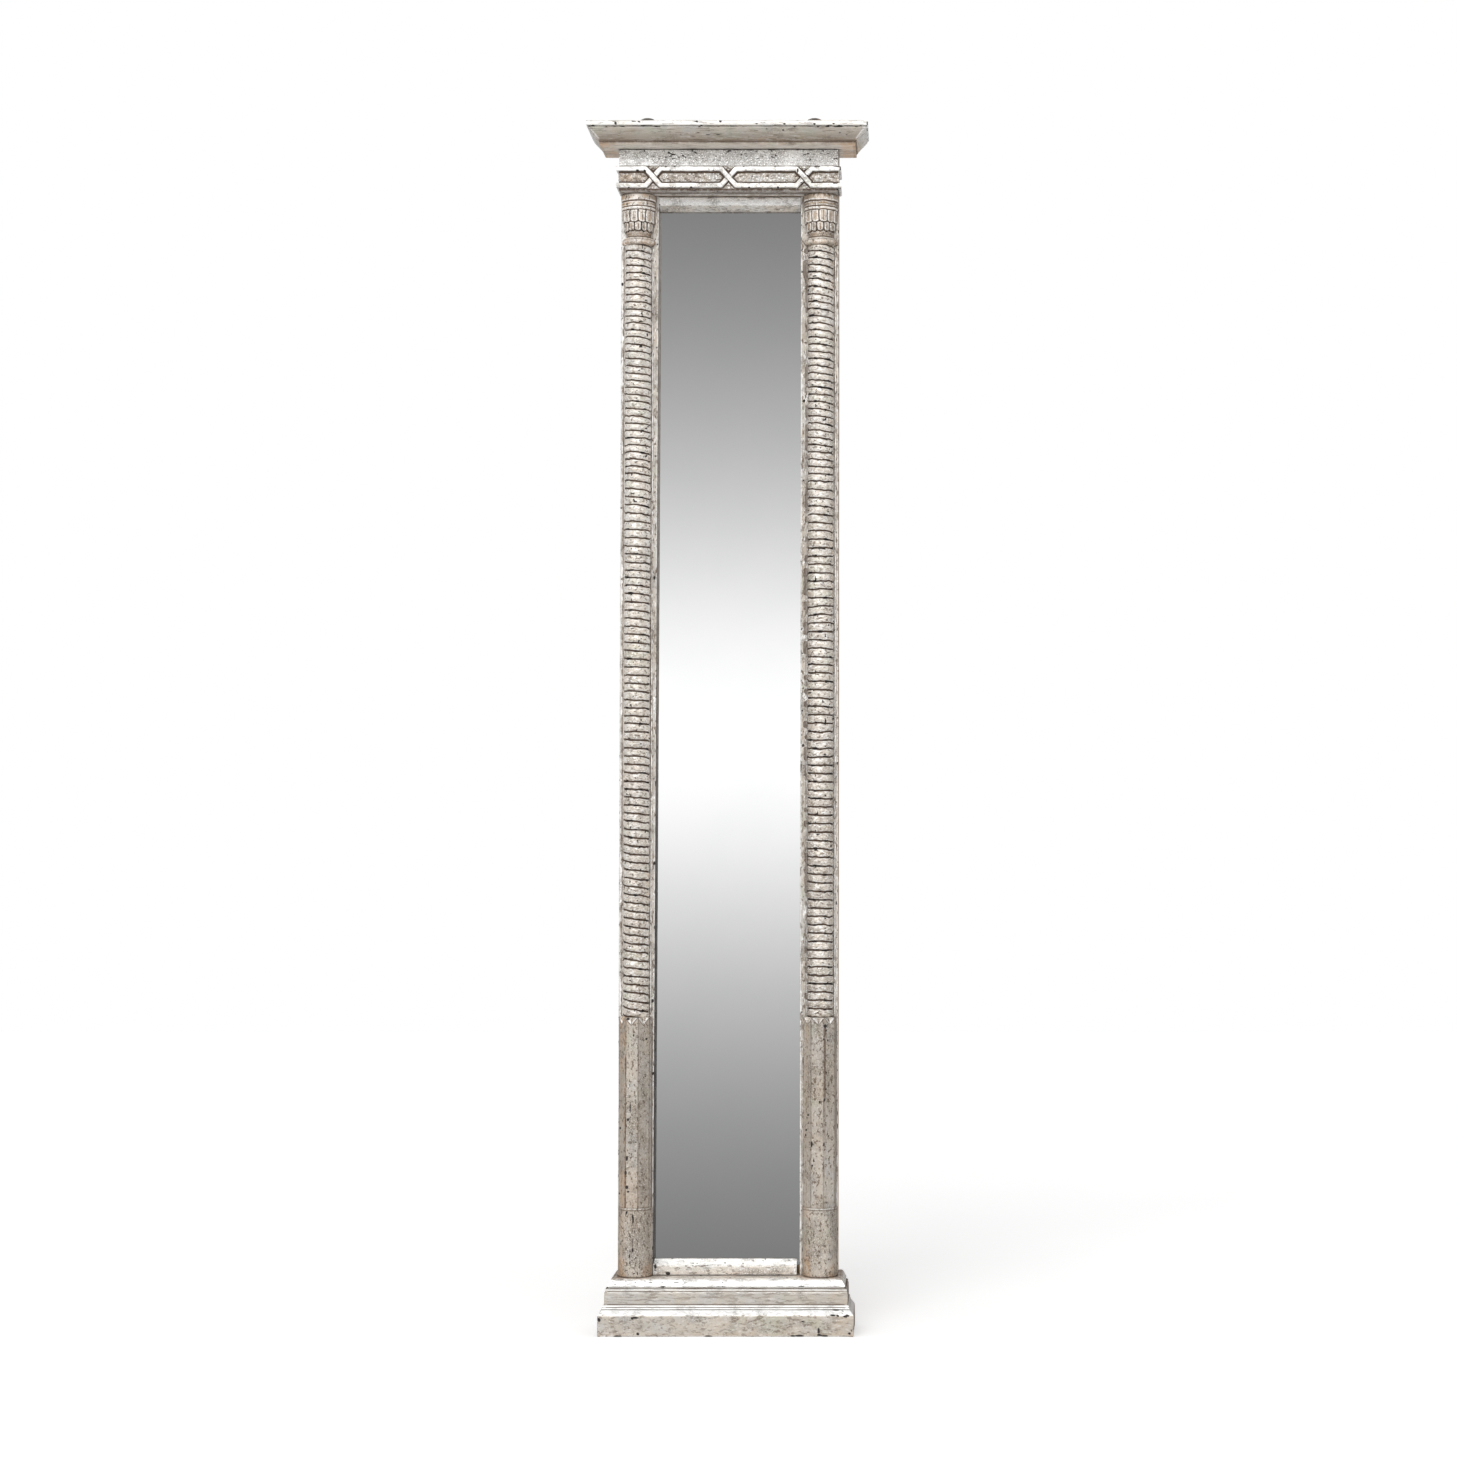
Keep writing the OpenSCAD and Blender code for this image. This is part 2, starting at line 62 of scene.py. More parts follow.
# ------------------------------------------------------------------ sizes, in mm
YB = 51.85                      # Y of the back of the frame; p is the distance forward of it
HW, OW = 132.0, 86.3            # half widths of the frame and of its opening
BACK, FACE, FRZ = 28.0, 48.0, 74.5
ZCOL, ZFRZ, ZCOR, ZTOP = 66.0, 1369.7, 1421.6, 1448.0
COLX = 110.8
PLP = 69.0                      # depth of the plinth's offset 0
ZOCT = 148.4
ZROPE0, ZROPE1 = 375.6, 1308.6
ZJOIN = 1020.6
TURN = {-1: math.radians(-12), 1: math.radians(-6)}   # the octagons stand slightly turned
EYEZ, EYEP = 1442.7, -3.7


# ------------------------------------------------------------------ noise
def _hash(ix, iy, iz, seed):
    n = (ix * 374761393 + iy * 668265263 + iz * 2147483647 + seed * 1274126177) & 0xFFFFFFFF
    n = ((n ^ (n >> 13)) * 1274126177) & 0xFFFFFFFF
    n = ((n ^ (n >> 16)) * 2246822519) & 0xFFFFFFFF
    n = n ^ (n >> 15)
    return (n & 0xFFFFFF).astype(np.float64) / float(0xFFFFFF)


def noise(P, cell, seed=0):
    """Smooth value noise from -1 to 1 at the points P, in mm; cell is a size or three sizes."""
    q = P / np.asarray(cell, float)
    i = np.floor(q).astype(np.int64)
    f = q - i
    f = f * f * f * (f * (f * 6 - 15) + 10)
    out = np.zeros(P.shape[:-1])
    for dx in (0, 1):
        wx = f[..., 0] if dx else 1 - f[..., 0]
        for dy in (0, 1):
            wy = f[..., 1] if dy else 1 - f[..., 1]
            for dz in (0, 1):
                wz = f[..., 2] if dz else 1 - f[..., 2]
                out += _hash(i[..., 0] + dx, i[..., 1] + dy, i[..., 2] + dz, seed) * wx * wy * wz
    return out * 2 - 1


def fbm(P, cell, seed=0, octaves=3, gain=0.5):
    cell = np.asarray(cell, float) * np.ones(3)
    out, amp, tot = 0.0, 1.0, 0.0
    for k in range(octaves):
        out = out + amp * noise(P, cell / (2.0 ** k), seed + 17 * k)
        tot += amp
        amp *= gain
    return out / tot


def smooth(a, b, x):
    t = np.clip((x - a) / (b - a), 0, 1)
    return t * t * (3 - 2 * t)


# ------------------------------------------------------------------ meshes
def edge_list(faces):
    e = set()
    for f in faces:
        for a, b in zip(f, f[1:] + f[:1]):
            e.add((a, b) if a < b else (b, a))
    return np.array(sorted(e), np.int64)


def mesh_edges(me):
    e = np.zeros(len(me.edges) * 2, np.int32)
    me.edges.foreach_get("vertices", e)
    return e.reshape(-1, 2)


def convexity(V, E, N, breadth, scale):
    """Signed curvature over a breadth in mm: above 0 on edges, below 0 in grooves, in -1..1."""
    n = len(V)
    step = np.median(np.linalg.norm(V[E[:, 0]] - V[E[:, 1]], axis=1))
    passes = int(np.clip((breadth / step) ** 2, 2, 26))
    deg = np.bincount(E[:, 0], minlength=n) + np.bincount(E[:, 1], minlength=n)
    deg = np.maximum(deg, 1)[:, None]
    p = V.copy()
    for _ in range(passes):
        acc = np.zeros_like(p)
        for c in range(3):
            acc[:, c] = np.bincount(E[:, 0], p[E[:, 1], c], n) + np.bincount(E[:, 1], p[E[:, 0], c], n)
        p = 0.5 * p + 0.5 * acc / deg
    return np.clip(((V - p) * N).sum(1) / scale, -1, 1)


class Piece:
    """A mesh under construction, in mm, with one value for each vertex in every layer."""

    def __init__(self, name):
        self.name = name
        self.V = np.zeros((0, 3))
        self.F = []
        self.layers = {}

    def add(self, V, F, **layers):
        k = len(self.V)
        V = np.asarray(V, float).reshape(-1, 3)
        for key in set(self.layers) | set(layers):
            old = self.layers.get(key, np.zeros(k))
            new = np.asarray(layers.get(key, 0.0), float) * np.ones(len(V))
            self.layers[key] = np.concatenate([old, new.ravel()])
        self.V = np.concatenate([self.V, V])
        self.F += [tuple(int(i) + k for i in f) for f in F]
        return self


def normals_of(V, F):
    me = bpy.data.meshes.new("tmp")
    me.from_pydata((V / 1000.0).tolist(), [], F)
    me.update()
    n = np.zeros(len(V) * 3, np.float32)
    me.vertices.foreach_get("normal", n)
    E = mesh_edges(me)
    bpy.data.meshes.remove(me)
    return n.reshape(-1, 3).astype(float), E


def volume(V, F):
    tot = 0.0
    quads = np.array([f for f in F if len(f) == 4], np.int64)
    tris = [f for f in F if len(f) == 3]
    parts = []
    if len(quads):
        parts += [quads[:, [0, 1, 2]], quads[:, [0, 2, 3]]]
    if tris:
        parts.append(np.array(tris, np.int64))
    for t in parts:
        a, b, c = V[t[:, 0]], V[t[:, 1]], V[t[:, 2]]
        tot += np.einsum("ij,ij->i", a, np.cross(b, c)).sum() / 6
    return tot


def build(piece, body, material, replaces=(), wear=0.0, dents=0.0, sharp=38.0, seed=1,
          breadth=(2.2, 0.30), fixed=None, chip_rate=0.5):
    """Finishes a piece: worn edges, small dents, layers for the shader, and its place in the frame."""
    V, F = piece.V, piece.F
    if volume(V - V.mean(0), F) < 0:
        F = [tuple(reversed(f)) for f in F]
    N, E = normals_of(V, F)
    conv = convexity(V, E, N, *breadth)
    conv = np.where(conv > 0, conv * piece.layers.get("gain", np.ones(len(V))), conv)
    free = np.ones(len(V)) if fixed is None else 1.0 - fixed(V)
    chip = piece.layers.get("chip", np.zeros(len(V))).copy()
    if wear > 0:
        # rubbed edges, with a few bites out of them
        m = noise(V, 7.0, seed + 5) * 0.6 + noise(V, 2.6, seed + 6) * 0.4
        bite = smooth(0.47 - 0.12 * (chip_rate - 0.5), 0.66 - 0.12 * (chip_rate - 0.5), m) * smooth(0.15, 0.5, conv) * free
        V = V - N * (bite * 1.1 * wear)[:, None]
        V = V - N * (np.clip(conv, 0, 1) * (0.18 + 0.22 * noise(V, 19.0, seed + 8)) * wear * free)[:, None]
        chip = np.maximum(chip, bite * 0.9)
    if dents > 0:
        d = 0.20 * fbm(V, 26.0, seed + 11, 2) + 0.10 * fbm(V, 7.0, seed + 12, 2) + 0.035 * noise(V, 2.2, seed + 13)
        V = V + N * (d * dents * free)[:, None]
    V = np.minimum(np.maximum(V, LO + 0.02), HI - 0.02)
    me = bpy.data.meshes.new(piece.name)
    me.from_pydata((V / 1000.0).tolist(), [], F)
    me.update()
    me.validate()
    for f in me.polygons:
        f.use_smooth = True
    me.set_sharp_from_angle(angle=math.radians(sharp))
    layers = {key: val for key, val in piece.layers.items() if key != "gain"}
    layers["chip"] = chip
    layers["conv"] = conv
    for key, val in layers.items():
        a = me.attributes.new(key, "FLOAT", "POINT")
        a.data.foreach_set("value", np.asarray(val, np.float32))
    me.materials.append(material)
    o = bpy.data.objects.new(piece.name, me)
    bpy.context.scene.collection.objects.link(o)
    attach(o, body)
    if replaces:
        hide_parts(*replaces)
    return o


def resample(pts, step, passes=2, rnd=None):
    """Closed outline of (a, b[, step]) corners, cut into short lengths with its corners eased."""
    out = []
    n = len(pts)
    for k in range(n):
        a, b = np.array(pts[k][:2], float), np.array(pts[(k + 1) % n][:2], float)
        s = pts[k][2] if len(pts[k]) > 2 else step
        m = max(1, int(math.ceil(np.linalg.norm(b - a) / s)))
        for i in range(m):
            out.append(a + (b - a) * i / m)
    q = np.array(out)
    for _ in range(passes):
        q = 0.5 * q + 0.25 * (np.roll(q, 1, 0) + np.roll(q, -1, 0))
    return q


def loft(ring_xyz, cap=True):
    """Closed outlines ring_xyz[j][i] skinned along j, with both ends filled."""
    P = np.asarray(ring_xyz, float)
    nj, ni = P.shape[:2]
    V = P.reshape(-1, 3)
    F = []
    for j in range(nj - 1):
        a, b = j * ni, (j + 1) * ni
        for i in range(ni):
            k = (i + 1) % ni
            F.append((a + i, a + k, b + k, b + i))
    if cap:
        for j, flip in ((0, True), (nj - 1, False)):
            ring = [Vector(v) for v in P[j]]
            tri = tessellate_polygon([ring])
            # tessellate_polygon gives its own order: make each face look the same way as the outline
            c = P[j].mean(0)
            area = np.cross(P[j] - c, np.roll(P[j], -1, 0) - c).sum(0)
            for t in tri:
                t = list(t)
                n = np.cross(P[j][t[1]] - P[j][t[0]], P[j][t[2]] - P[j][t[0]])
                if np.dot(n, area) < 0:
                    t.reverse()
                if flip:
                    t.reverse()
                F.append(tuple(j * ni + i for i in t))
    return V, F


def stations(a, b, step, fine=None):
    n = max(2, int(math.ceil(abs(b - a) / step)) + 1)
    return np.linspace(a, b, n)


# a moulding across the front: outline of (offset, z), mitred at offsets above 0
def run_front(prof, cx, pf, step, inner_mitre=False):
    t = stations(-1, 1, step / cx)
    rings = []
    for s in t:
        o = prof[:, 0]
        xe = cx + (o if inner_mitre else np.maximum(o, 0.0))
        rings.append(np.stack([s * xe, YB - (pf + o), prof[:, 1]], 1))
    return loft(rings)


def run_side(prof, cx, pf, p0, step, sign):
    rings = []
    for t in stations(0, 1, step / (pf - p0 + 10)):
        o = prof[:, 0]
        p = p0 + (pf + o - p0) * t
        rings.append(np.stack([sign * (cx + o), YB - p, prof[:, 1]], 1))
    return loft(rings)


def round_rect(w, h, r, step, coarse=None):
    """Outline of a rectangle from (0,0) to (w,h) with rounded corners."""
    pts = []
    for cx, cy, a0 in ((w - r, r, -90), (w - r, h - r, 0), (r, h - r, 90), (r, r, 180)):
        for k in range(4):
            a = math.radians(a0 + 30 * k)
            pts.append((cx + r * math.cos(a), cy + r * math.sin(a)))
    n = len(pts)
    out = []
    for k in range(n):
        a, b = np.array(pts[k]), np.array(pts[(k + 1) % n])
        m = max(1, int(math.ceil(np.linalg.norm(b - a) / step)))
        for i in range(m):
            out.append(a + (b - a) * i / m)
    return np.array(out)


def board(x0, x1, p0, p1, z0, z1, along, step=3.0, r=0.8):
    """A board with eased edges. along is the axis that its grain follows."""
    if along == "z":
        q = round_rect(x1 - x0, p1 - p0, r, step)
        lev = np.unique(np.concatenate([[z0, z0 + r], stations(z0 + r, z1 - r, step), [z1]]))
        rings = []
        for z in lev:
            e = r * 0.7 if (z in (z0, z1)) else 0.0
            k = np.array([(x1 - x0 - 2 * e) / (x1 - x0), (p1 - p0 - 2 * e) / (p1 - p0)])
            c = np.array([(x1 - x0) / 2, (p1 - p0) / 2])
            w = (q - c) * k + c
            rings.append(np.stack([x0 + w[:, 0], YB - (p0 + w[:, 1]), np.full(len(w), z)], 1))
    else:
        q = round_rect(p1 - p0, z1 - z0, r, step)
        lev = np.unique(np.concatenate([[x0, x0 + r], stations(x0 + r, x1 - r, step), [x1]]))
        rings = []
        for x in lev:
            e = r * 0.7 if (x in (x0, x1)) else 0.0
            k = np.array([(p1 - p0 - 2 * e) / (p1 - p0), (z1 - z0 - 2 * e) / (z1 - z0)])
            c = np.array([(p1 - p0) / 2, (z1 - z0) / 2])
            w = (q - c) * k + c
            rings.append(np.stack([np.full(len(w), x), YB - (p0 + w[:, 0]), z0 + w[:, 1]], 1))
    return loft(rings)


# ------------------------------------------------------------------ materials
class Nodes:
    def __init__(self, name):
        self.m = bpy.data.materials.new(name)
        self.m.use_nodes = True
        self.t = self.m.node_tree
        self.t.nodes.clear()
        self.out = self.n("ShaderNodeOutputMaterial")
        self.b = self.n("ShaderNodeBsdfPrincipled")
        self.l(self.b.outputs[0], self.out.inputs["Surface"])

    def n(self, kind, **kw):
        node = self.t.nodes.new(kind)
        for k, v in kw.items():
            setattr(node, k, v)
        return node

    def l(self, a, b):
        self.t.links.new(a, b)

    def coords(self, scale=(1, 1, 1), rot=(0, 0, 0)):
        tc = self.n("ShaderNodeTexCoord")
        mp = self.n("ShaderNodeMapping")
        mp.inputs["Scale"].default_value = scale
        mp.inputs["Rotation"].default_value = rot
        self.l(tc.outputs["Object"], mp.inputs["Vector"])
        return mp.outputs["Vector"]

    def noise(self, vec, scale, detail=3.0, rough=0.55, distort=0.0, dims="3D"):
        k = self.n("ShaderNodeTexNoise", noise_dimensions=dims)
        k.inputs["Scale"].default_value = scale
        k.inputs["Detail"].default_value = detail
        k.inputs["Roughness"].default_value = rough
        k.inputs["Distortion"].default_value = distort
        self.l(vec, k.inputs["Vector"])
        return k.outputs["Fac"]

    def noise_colour(self, vec, scale, detail=2.0):
        k = self.n("ShaderNodeTexNoise")
        k.inputs["Scale"].default_value = scale
        k.inputs["Detail"].default_value = detail
        self.l(vec, k.inputs["Vector"])
        return k.outputs["Color"]

    def cells(self, vec, scale, feature="DISTANCE_TO_EDGE", random=1.0):
        k = self.n("ShaderNodeTexVoronoi", feature=feature)
        k.inputs["Scale"].default_value = scale
        k.inputs["Randomness"].default_value = random
        self.l(vec, k.inputs["Vector"])
        return k.outputs["Distance"]

    def attr(self, name):
        return self.n("ShaderNodeAttribute", attribute_name=name, attribute_type="GEOMETRY").outputs["Fac"]

    def ramp(self, fac, a, b, lo=0.0, hi=1.0, smoothly=True):
        k = self.n("ShaderNodeMapRange", clamp=True)
        k.interpolation_type = "SMOOTHSTEP" if smoothly else "LINEAR"
        k.inputs["From Min"].default_value = a
        k.inputs["From Max"].default_value = b
        k.inputs["To Min"].default_value = lo
        k.inputs["To Max"].default_value = hi
        self.l(fac, k.inputs["Value"])
        return k.outputs["Result"]

    def math(self, op, a, b=None, clamp=False):
        k = self.n("ShaderNodeMath", operation=op, use_clamp=clamp)
        for s, v in zip(k.inputs, (a, b)):
            if v is None:
                continue
            if isinstance(v, (int, float)):
                s.default_value = v
            else:
                self.l(v, s)
        return k.outputs[0]

    def mix(self, fac, a, b, mode="MIX"):
        k = self.n("ShaderNodeMix", data_type="RGBA", blend_type=mode)
        for s, v in ((k.inputs["Factor"], fac), (k.inputs[6], a), (k.inputs[7], b)):
            if isinstance(v, (int, float)):
                s.default_value = v
            elif isinstance(v, tuple):
                s.default_value = (*v, 1.0) if len(v) == 3 else v
            else:
                self.l(v, s)
        return k.outputs[2]

    def warp(self, vec, amount, scale):
        """vec moved about by a coloured noise, for lines that wander."""
        c = self.noise_colour(vec, scale)
        s = self.n("ShaderNodeVectorMath", operation="SUBTRACT")
        self.l(c, s.inputs[0])
        s.inputs[1].default_value = (0.5, 0.5, 0.5)
        m = self.n("ShaderNodeVectorMath", operation="SCALE")
        self.l(s.outputs[0], m.inputs[0])
        m.inputs["Scale"].default_value = amount
        a = self.n("ShaderNodeVectorMath", operation="ADD")
        self.l(vec, a.inputs[0])
        self.l(m.outputs[0], a.inputs[1])
        return a.outputs[0]

    def bump(self, height, strength, distance, normal=None):
        k = self.n("ShaderNodeBump")
        k.inputs["Strength"].default_value = strength
        k.inputs["Distance"].default_value = distance
        self.l(height, k.inputs["Height"])
        if normal is not None:
            self.l(normal, k.inputs["Normal"])
        return k.outputs["Normal"]


def silver_leaf(name, grain, light=1.0, warm=0.0, crackle=0.35, cool=0.0, fleck=0.5, rub=1.0, grit=360):
    """Worn silver leaf over brown ground. grain is the stretch of its brushed streaks along X, Y, Z."""
    k = Nodes(name)
    v = k.coords()
    g = k.coords(grain)
    conv = k.attr("conv")
    chip = k.attr("chip")
    tone = k.attr("tone")
    patina = k.attr("patina")
    crack = k.attr("crack")
    stain = k.attr("stain")

    big = k.noise(v, 9, 3, 0.55)
    mid = k.noise(v, 55, 4, 0.6, 0.3)
    fine = k.noise(v, 420, 3, 0.6)
    streak = k.noise(g, 210, 4, 0.65)
    wander = k.warp(v, 0.004, 220)

    # leaf: pale beige silver, cooler and warmer by turns
    beige = (0.735 * light, 0.668 * light, 0.578 * light)
    cooler = (0.69 * light, 0.672 * light, 0.635 * light)
    col = k.mix(k.ramp(mid, 0.40 - 0.12 * cool, 0.66 - 0.12 * cool), beige, cooler)
    tan = (0.62 * light, 0.485 * light, 0.355 * light)
    col = k.mix(k.math("MULTIPLY", k.ramp(big, 0.46 - 0.1 * warm, 0.74 - 0.1 * warm), 0.35 + 0.35 * warm), col, tan)
    green = (0.60 * light, 0.62 * light, 0.50 * light)
    col = k.mix(k.math("MULTIPLY", k.ramp(k.noise(v, 24, 3, 0.6), 0.54, 0.68), 0.55), col, green)
    # streaks left by the brush and by rubbing
    col = k.mix(k.ramp(streak, 0.55, 0.72, 0.0, 0.50), col, (0.37 * light, 0.285 * light, 0.205 * light))
    col = k.mix(k.ramp(streak, 0.44, 0.27, 0.0, 0.18 + 0.27 * rub), col, (0.90, 0.89, 0.86))
    # orange-brown bole showing where the leaf is thin
    ppat = k.math("MULTIPLY", patina, k.ramp(mid, 0.34, 0.60), True)
    col = k.mix(k.math("MULTIPLY", ppat, 0.85, True), col, (0.56, 0.365, 0.215))
    # lighter or darker by place, from the tone layer, which also carries painted light and shade: painted highlights,
    # lighter upward faces and darker undersides
    col = k.mix(k.ramp(tone, 0.0, 1.0, 0.0, 1.0, False), col, (0.95, 0.945, 0.93))
    col = k.mix(k.ramp(tone, 0.0, -1.0, 0.0, 1.0, False), col, (0.15, 0.105, 0.070))
    # pale flecks, where the gesso was rubbed through
    pale = k.ramp(k.noise(k.warp(g, 0.0024, 420), 390, 3, 0.62), 0.54, 0.62)
    patch = k.ramp(k.noise(v, 34, 4, 0.65), 0.40, 0.64)
    col = k.mix(k.math("MULTIPLY", pale, k.math("ADD", 0.22 * rub, k.math("MULTIPLY", patch, (0.30 + 0.3 * fleck) * rub))), col, (0.955, 0.95, 0.935))
    # rubbed edges are brighter
    edge = k.math("MULTIPLY", k.ramp(conv, 0.08, 0.42), k.ramp(fine, 0.30, 0.58, 0.50, 1.0), True)
    col = k.mix(k.math("MULTIPLY", edge, 0.78), col, (0.955, 0.945, 0.92))
    # dark flecks: brown ground showing through, close together in places
    dark = k.ramp(k.noise(k.warp(g, 0.0026, 400), grit, 3, 0.66), 0.56, 0.61)
    dens = k.math("ADD", k.math("MULTIPLY", k.ramp(k.noise(k.warp(v, 0.02, 30), 27, 4, 0.65), 0.38, 0.66), 0.10 + 0.42 * fleck), 0.14 + 0.34 * fleck)
    dens = k.math("ADD", dens, k.math("MULTIPLY", crack, 0.6), True)
    dens = k.math("MULTIPLY", dens, k.ramp(tone, 0.35, 0.90, 1.0, 0.30))
    col = k.mix(k.math("MULTIPLY", k.math("MULTIPLY", dark, dens, True), 0.88), col, (0.135, 0.092, 0.060))
    # darker in hollows: painted shade, and dirt
    hollow = k.math("MULTIPLY", k.ramp(conv, -0.04, -0.34), k.ramp(mid, 0.15, 0.50, 0.75, 1.0), True)
    col = k.mix(k.math("MULTIPLY", hollow, 0.90), col, (0.105, 0.068, 0.042))
    # craquelure, patchy
    d1 = k.cells(wander, 190)
    d2 = k.cells(k.warp(v, 0.003, 500), 420)
    line1 = k.ramp(d1, 0.13, 0.035)
    line2 = k.ramp(d2, 0.17, 0.05)
    cpatch = k.ramp(k.noise(v, 38, 4, 0.65), 0.54 - 0.16 * crackle, 0.68 - 0.10 * crackle)
    amount = k.math("ADD", k.math("MULTIPLY", cpatch, 0.45 + 0.55 * crackle), crack, True)
    lines = k.math("MULTIPLY", k.math("MAXIMUM", k.math("MULTIPLY", line1, 0.50), k.math("MULTIPLY", line2, 0.75)), amount, True)
    col = k.mix(k.math("MULTIPLY", lines, 0.80), col, (0.11, 0.082, 0.058))
    # the stain layer: stains along joints, and painted shade in creases and quirks, under edges and along the reveals
    # beside the glass
    col = k.mix(k.math("MULTIPLY", stain, k.ramp(fine, 0.25, 0.55, 0.65, 1.0), True), col, (0.085, 0.052, 0.032))
    # chips down to the dark ground; the chip layer also holds painted shadow under the capitals' lower leaves and
    # painted shade along the left stile's reveal
    spots = k.math("MULTIPLY", k.ramp(k.noise(k.warp(v, 0.01, 90), 210, 3, 0.6), 0.755, 0.775), k.ramp(mid, 0.42, 0.60), True)
    bare = k.math("MAXIMUM", k.ramp(chip, 0.25, 0.60), k.math("MULTIPLY", spots, 0.9), True)
    col = k.mix(bare, col, (0.022, 0.016, 0.013))
    k.l(col, k.b.inputs["Base Color"])

    worn = k.math("MAXIMUM", bare, k.math("MAXIMUM", hollow, k.math("MAXIMUM", ppat, stain)))
    rough = k.ramp(mid, 0.3, 0.7, 0.34, 0.48)
    rough = k.math("ADD", rough, k.math("MULTIPLY", worn, 0.30), True)
    k.l(rough, k.b.inputs["Roughness"])
    k.l(k.math("SUBTRACT", 0.38, k.math("MULTIPLY", worn, 0.38), True), k.b.inputs["Metallic"])

    h = k.math("SUBTRACT", k.math("MULTIPLY", fine, 0.45), k.math("MULTIPLY", lines, 0.8))
    h = k.math("SUBTRACT", h, k.math("MULTIPLY", bare, 0.8))
    h = k.math("SUBTRACT", h, k.math("MULTIPLY", dark, 0.35))
    h = k.math("ADD", h, k.math("MULTIPLY", streak, 0.45))
    n = k.bump(h, 0.75, 0.0009)
    k.l(n, k.b.inputs["Normal"])
    return k.m


def bare_wood(name, grain, tint=1.0):
    """Old softwood, browned, with its grain along one axis."""
    k = Nodes(name)
    v = k.coords()
    g = k.coords(grain)
    fig = k.noise(g, 55, 5, 0.6, 0.8)
    fibre = k.noise(g, 420, 4, 0.7)
    stain = k.noise(v, 11, 4, 0.6)
    col = k.mix(k.ramp(fig, 0.34, 0.66), (0.30 * tint, 0.185 * tint, 0.095 * tint), (0.46 * tint, 0.31 * tint, 0.175 * tint))
    col = k.mix(k.ramp(fibre, 0.50, 0.75, 0.0, 0.55), col, (0.13 * tint, 0.08 * tint, 0.045 * tint))
    col = k.mix(k.ramp(stain, 0.50, 0.75, 0.0, 0.6), col, (0.16 * tint, 0.11 * tint, 0.07 * tint))
    col = k.mix(k.ramp(k.noise(v, 160, 3, 0.6), 0.66, 0.74, 0.0, 0.5), col, (0.08, 0.06, 0.045))
    dust = k.ramp(k.noise(v, 30, 3, 0.6), 0.45, 0.7, 0.0, 0.22)
    col = k.mix(dust, col, (0.50, 0.46, 0.40))
    # painted shade: darker in hollows
    hollow = k.ramp(k.attr("conv"), -0.06, -0.5)
    col = k.mix(k.math("MULTIPLY", hollow, 0.7), col, (0.06, 0.04, 0.03))
    col = k.mix(k.ramp(k.attr("conv"), 0.15, 0.7, 0.0, 0.35), col, (0.52 * tint, 0.38 * tint, 0.24 * tint))
    k.l(col, k.b.inputs["Base Color"])
    k.l(k.ramp(fibre, 0.3, 0.7, 0.62, 0.85), k.b.inputs["Roughness"])
    n = k.bump(k.math("ADD", k.math("MULTIPLY", fibre, 0.7), k.math("MULTIPLY", fig, 0.6)), 0.6, 0.0008)
    k.l(n, k.b.inputs["Normal"])
    return k.m


def old_iron(name, base, metallic, rough, rust):
    k = Nodes(name)
    v = k.coords()
    a = k.noise(v, 180, 4, 0.6)
    b = k.noise(v, 900, 3, 0.6)
    col = k.mix(k.ramp(a, 0.35, 0.7), tuple(0.75 * c for c in base), tuple(1.15 * c for c in base))
    r = k.math("MULTIPLY", k.ramp(k.noise(v, 90, 4, 0.65), 0.50, 0.68), rust, True)
    col = k.mix(r, col, (0.20, 0.085, 0.035))
    k.l(col, k.b.inputs["Base Color"])
    k.l(k.math("SUBTRACT", metallic, k.math("MULTIPLY", r, metallic), True), k.b.inputs["Metallic"])
    k.l(k.ramp(b, 0.3, 0.7, rough - 0.08, rough + 0.12), k.b.inputs["Roughness"])
    k.l(k.bump(k.math("ADD", a, k.math("MULTIPLY", b, 0.5)), 0.5, 0.0003), k.b.inputs["Normal"])
    return k.m


def mirror_glass(name):
    """Silvered plate: clear reflection, a trace of tint and of haze in the silvering."""
    k = Nodes(name)
    v = k.coords()
    haze = k.noise(v, 14, 3, 0.5)
    col = k.mix(k.ramp(haze, 0.3, 0.7), (0.925, 0.93, 0.925), (0.91, 0.918, 0.914))
    k.l(col, k.b.inputs["Base Color"])
    k.b.inputs["Metallic"].default_value = 1.0
    k.l(k.ramp(k.noise(v, 60, 2, 0.5), 0.35, 0.7, 0.012, 0.022), k.b.inputs["Roughness"])
    return k.m


def plain_floor(name):
    k = Nodes(name)
    v = k.coords()
    col = k.mix(k.ramp(k.noise(v, 3, 3, 0.5), 0.3, 0.7), (0.86, 0.86, 0.86), (0.88, 0.88, 0.88))
    k.l(col, k.b.inputs["Base Color"])
    k.b.inputs["Roughness"].default_value = 0.9
    k.b.inputs["Specular IOR Level"].default_value = 0.1
    # a trace of light of its own, as a sweep lit from below has
    k.b.inputs["Emission Color"].default_value = (1.0, 1.0, 1.0, 1.0)
    k.b.inputs["Emission Strength"].default_value = 0.36
    return k.m


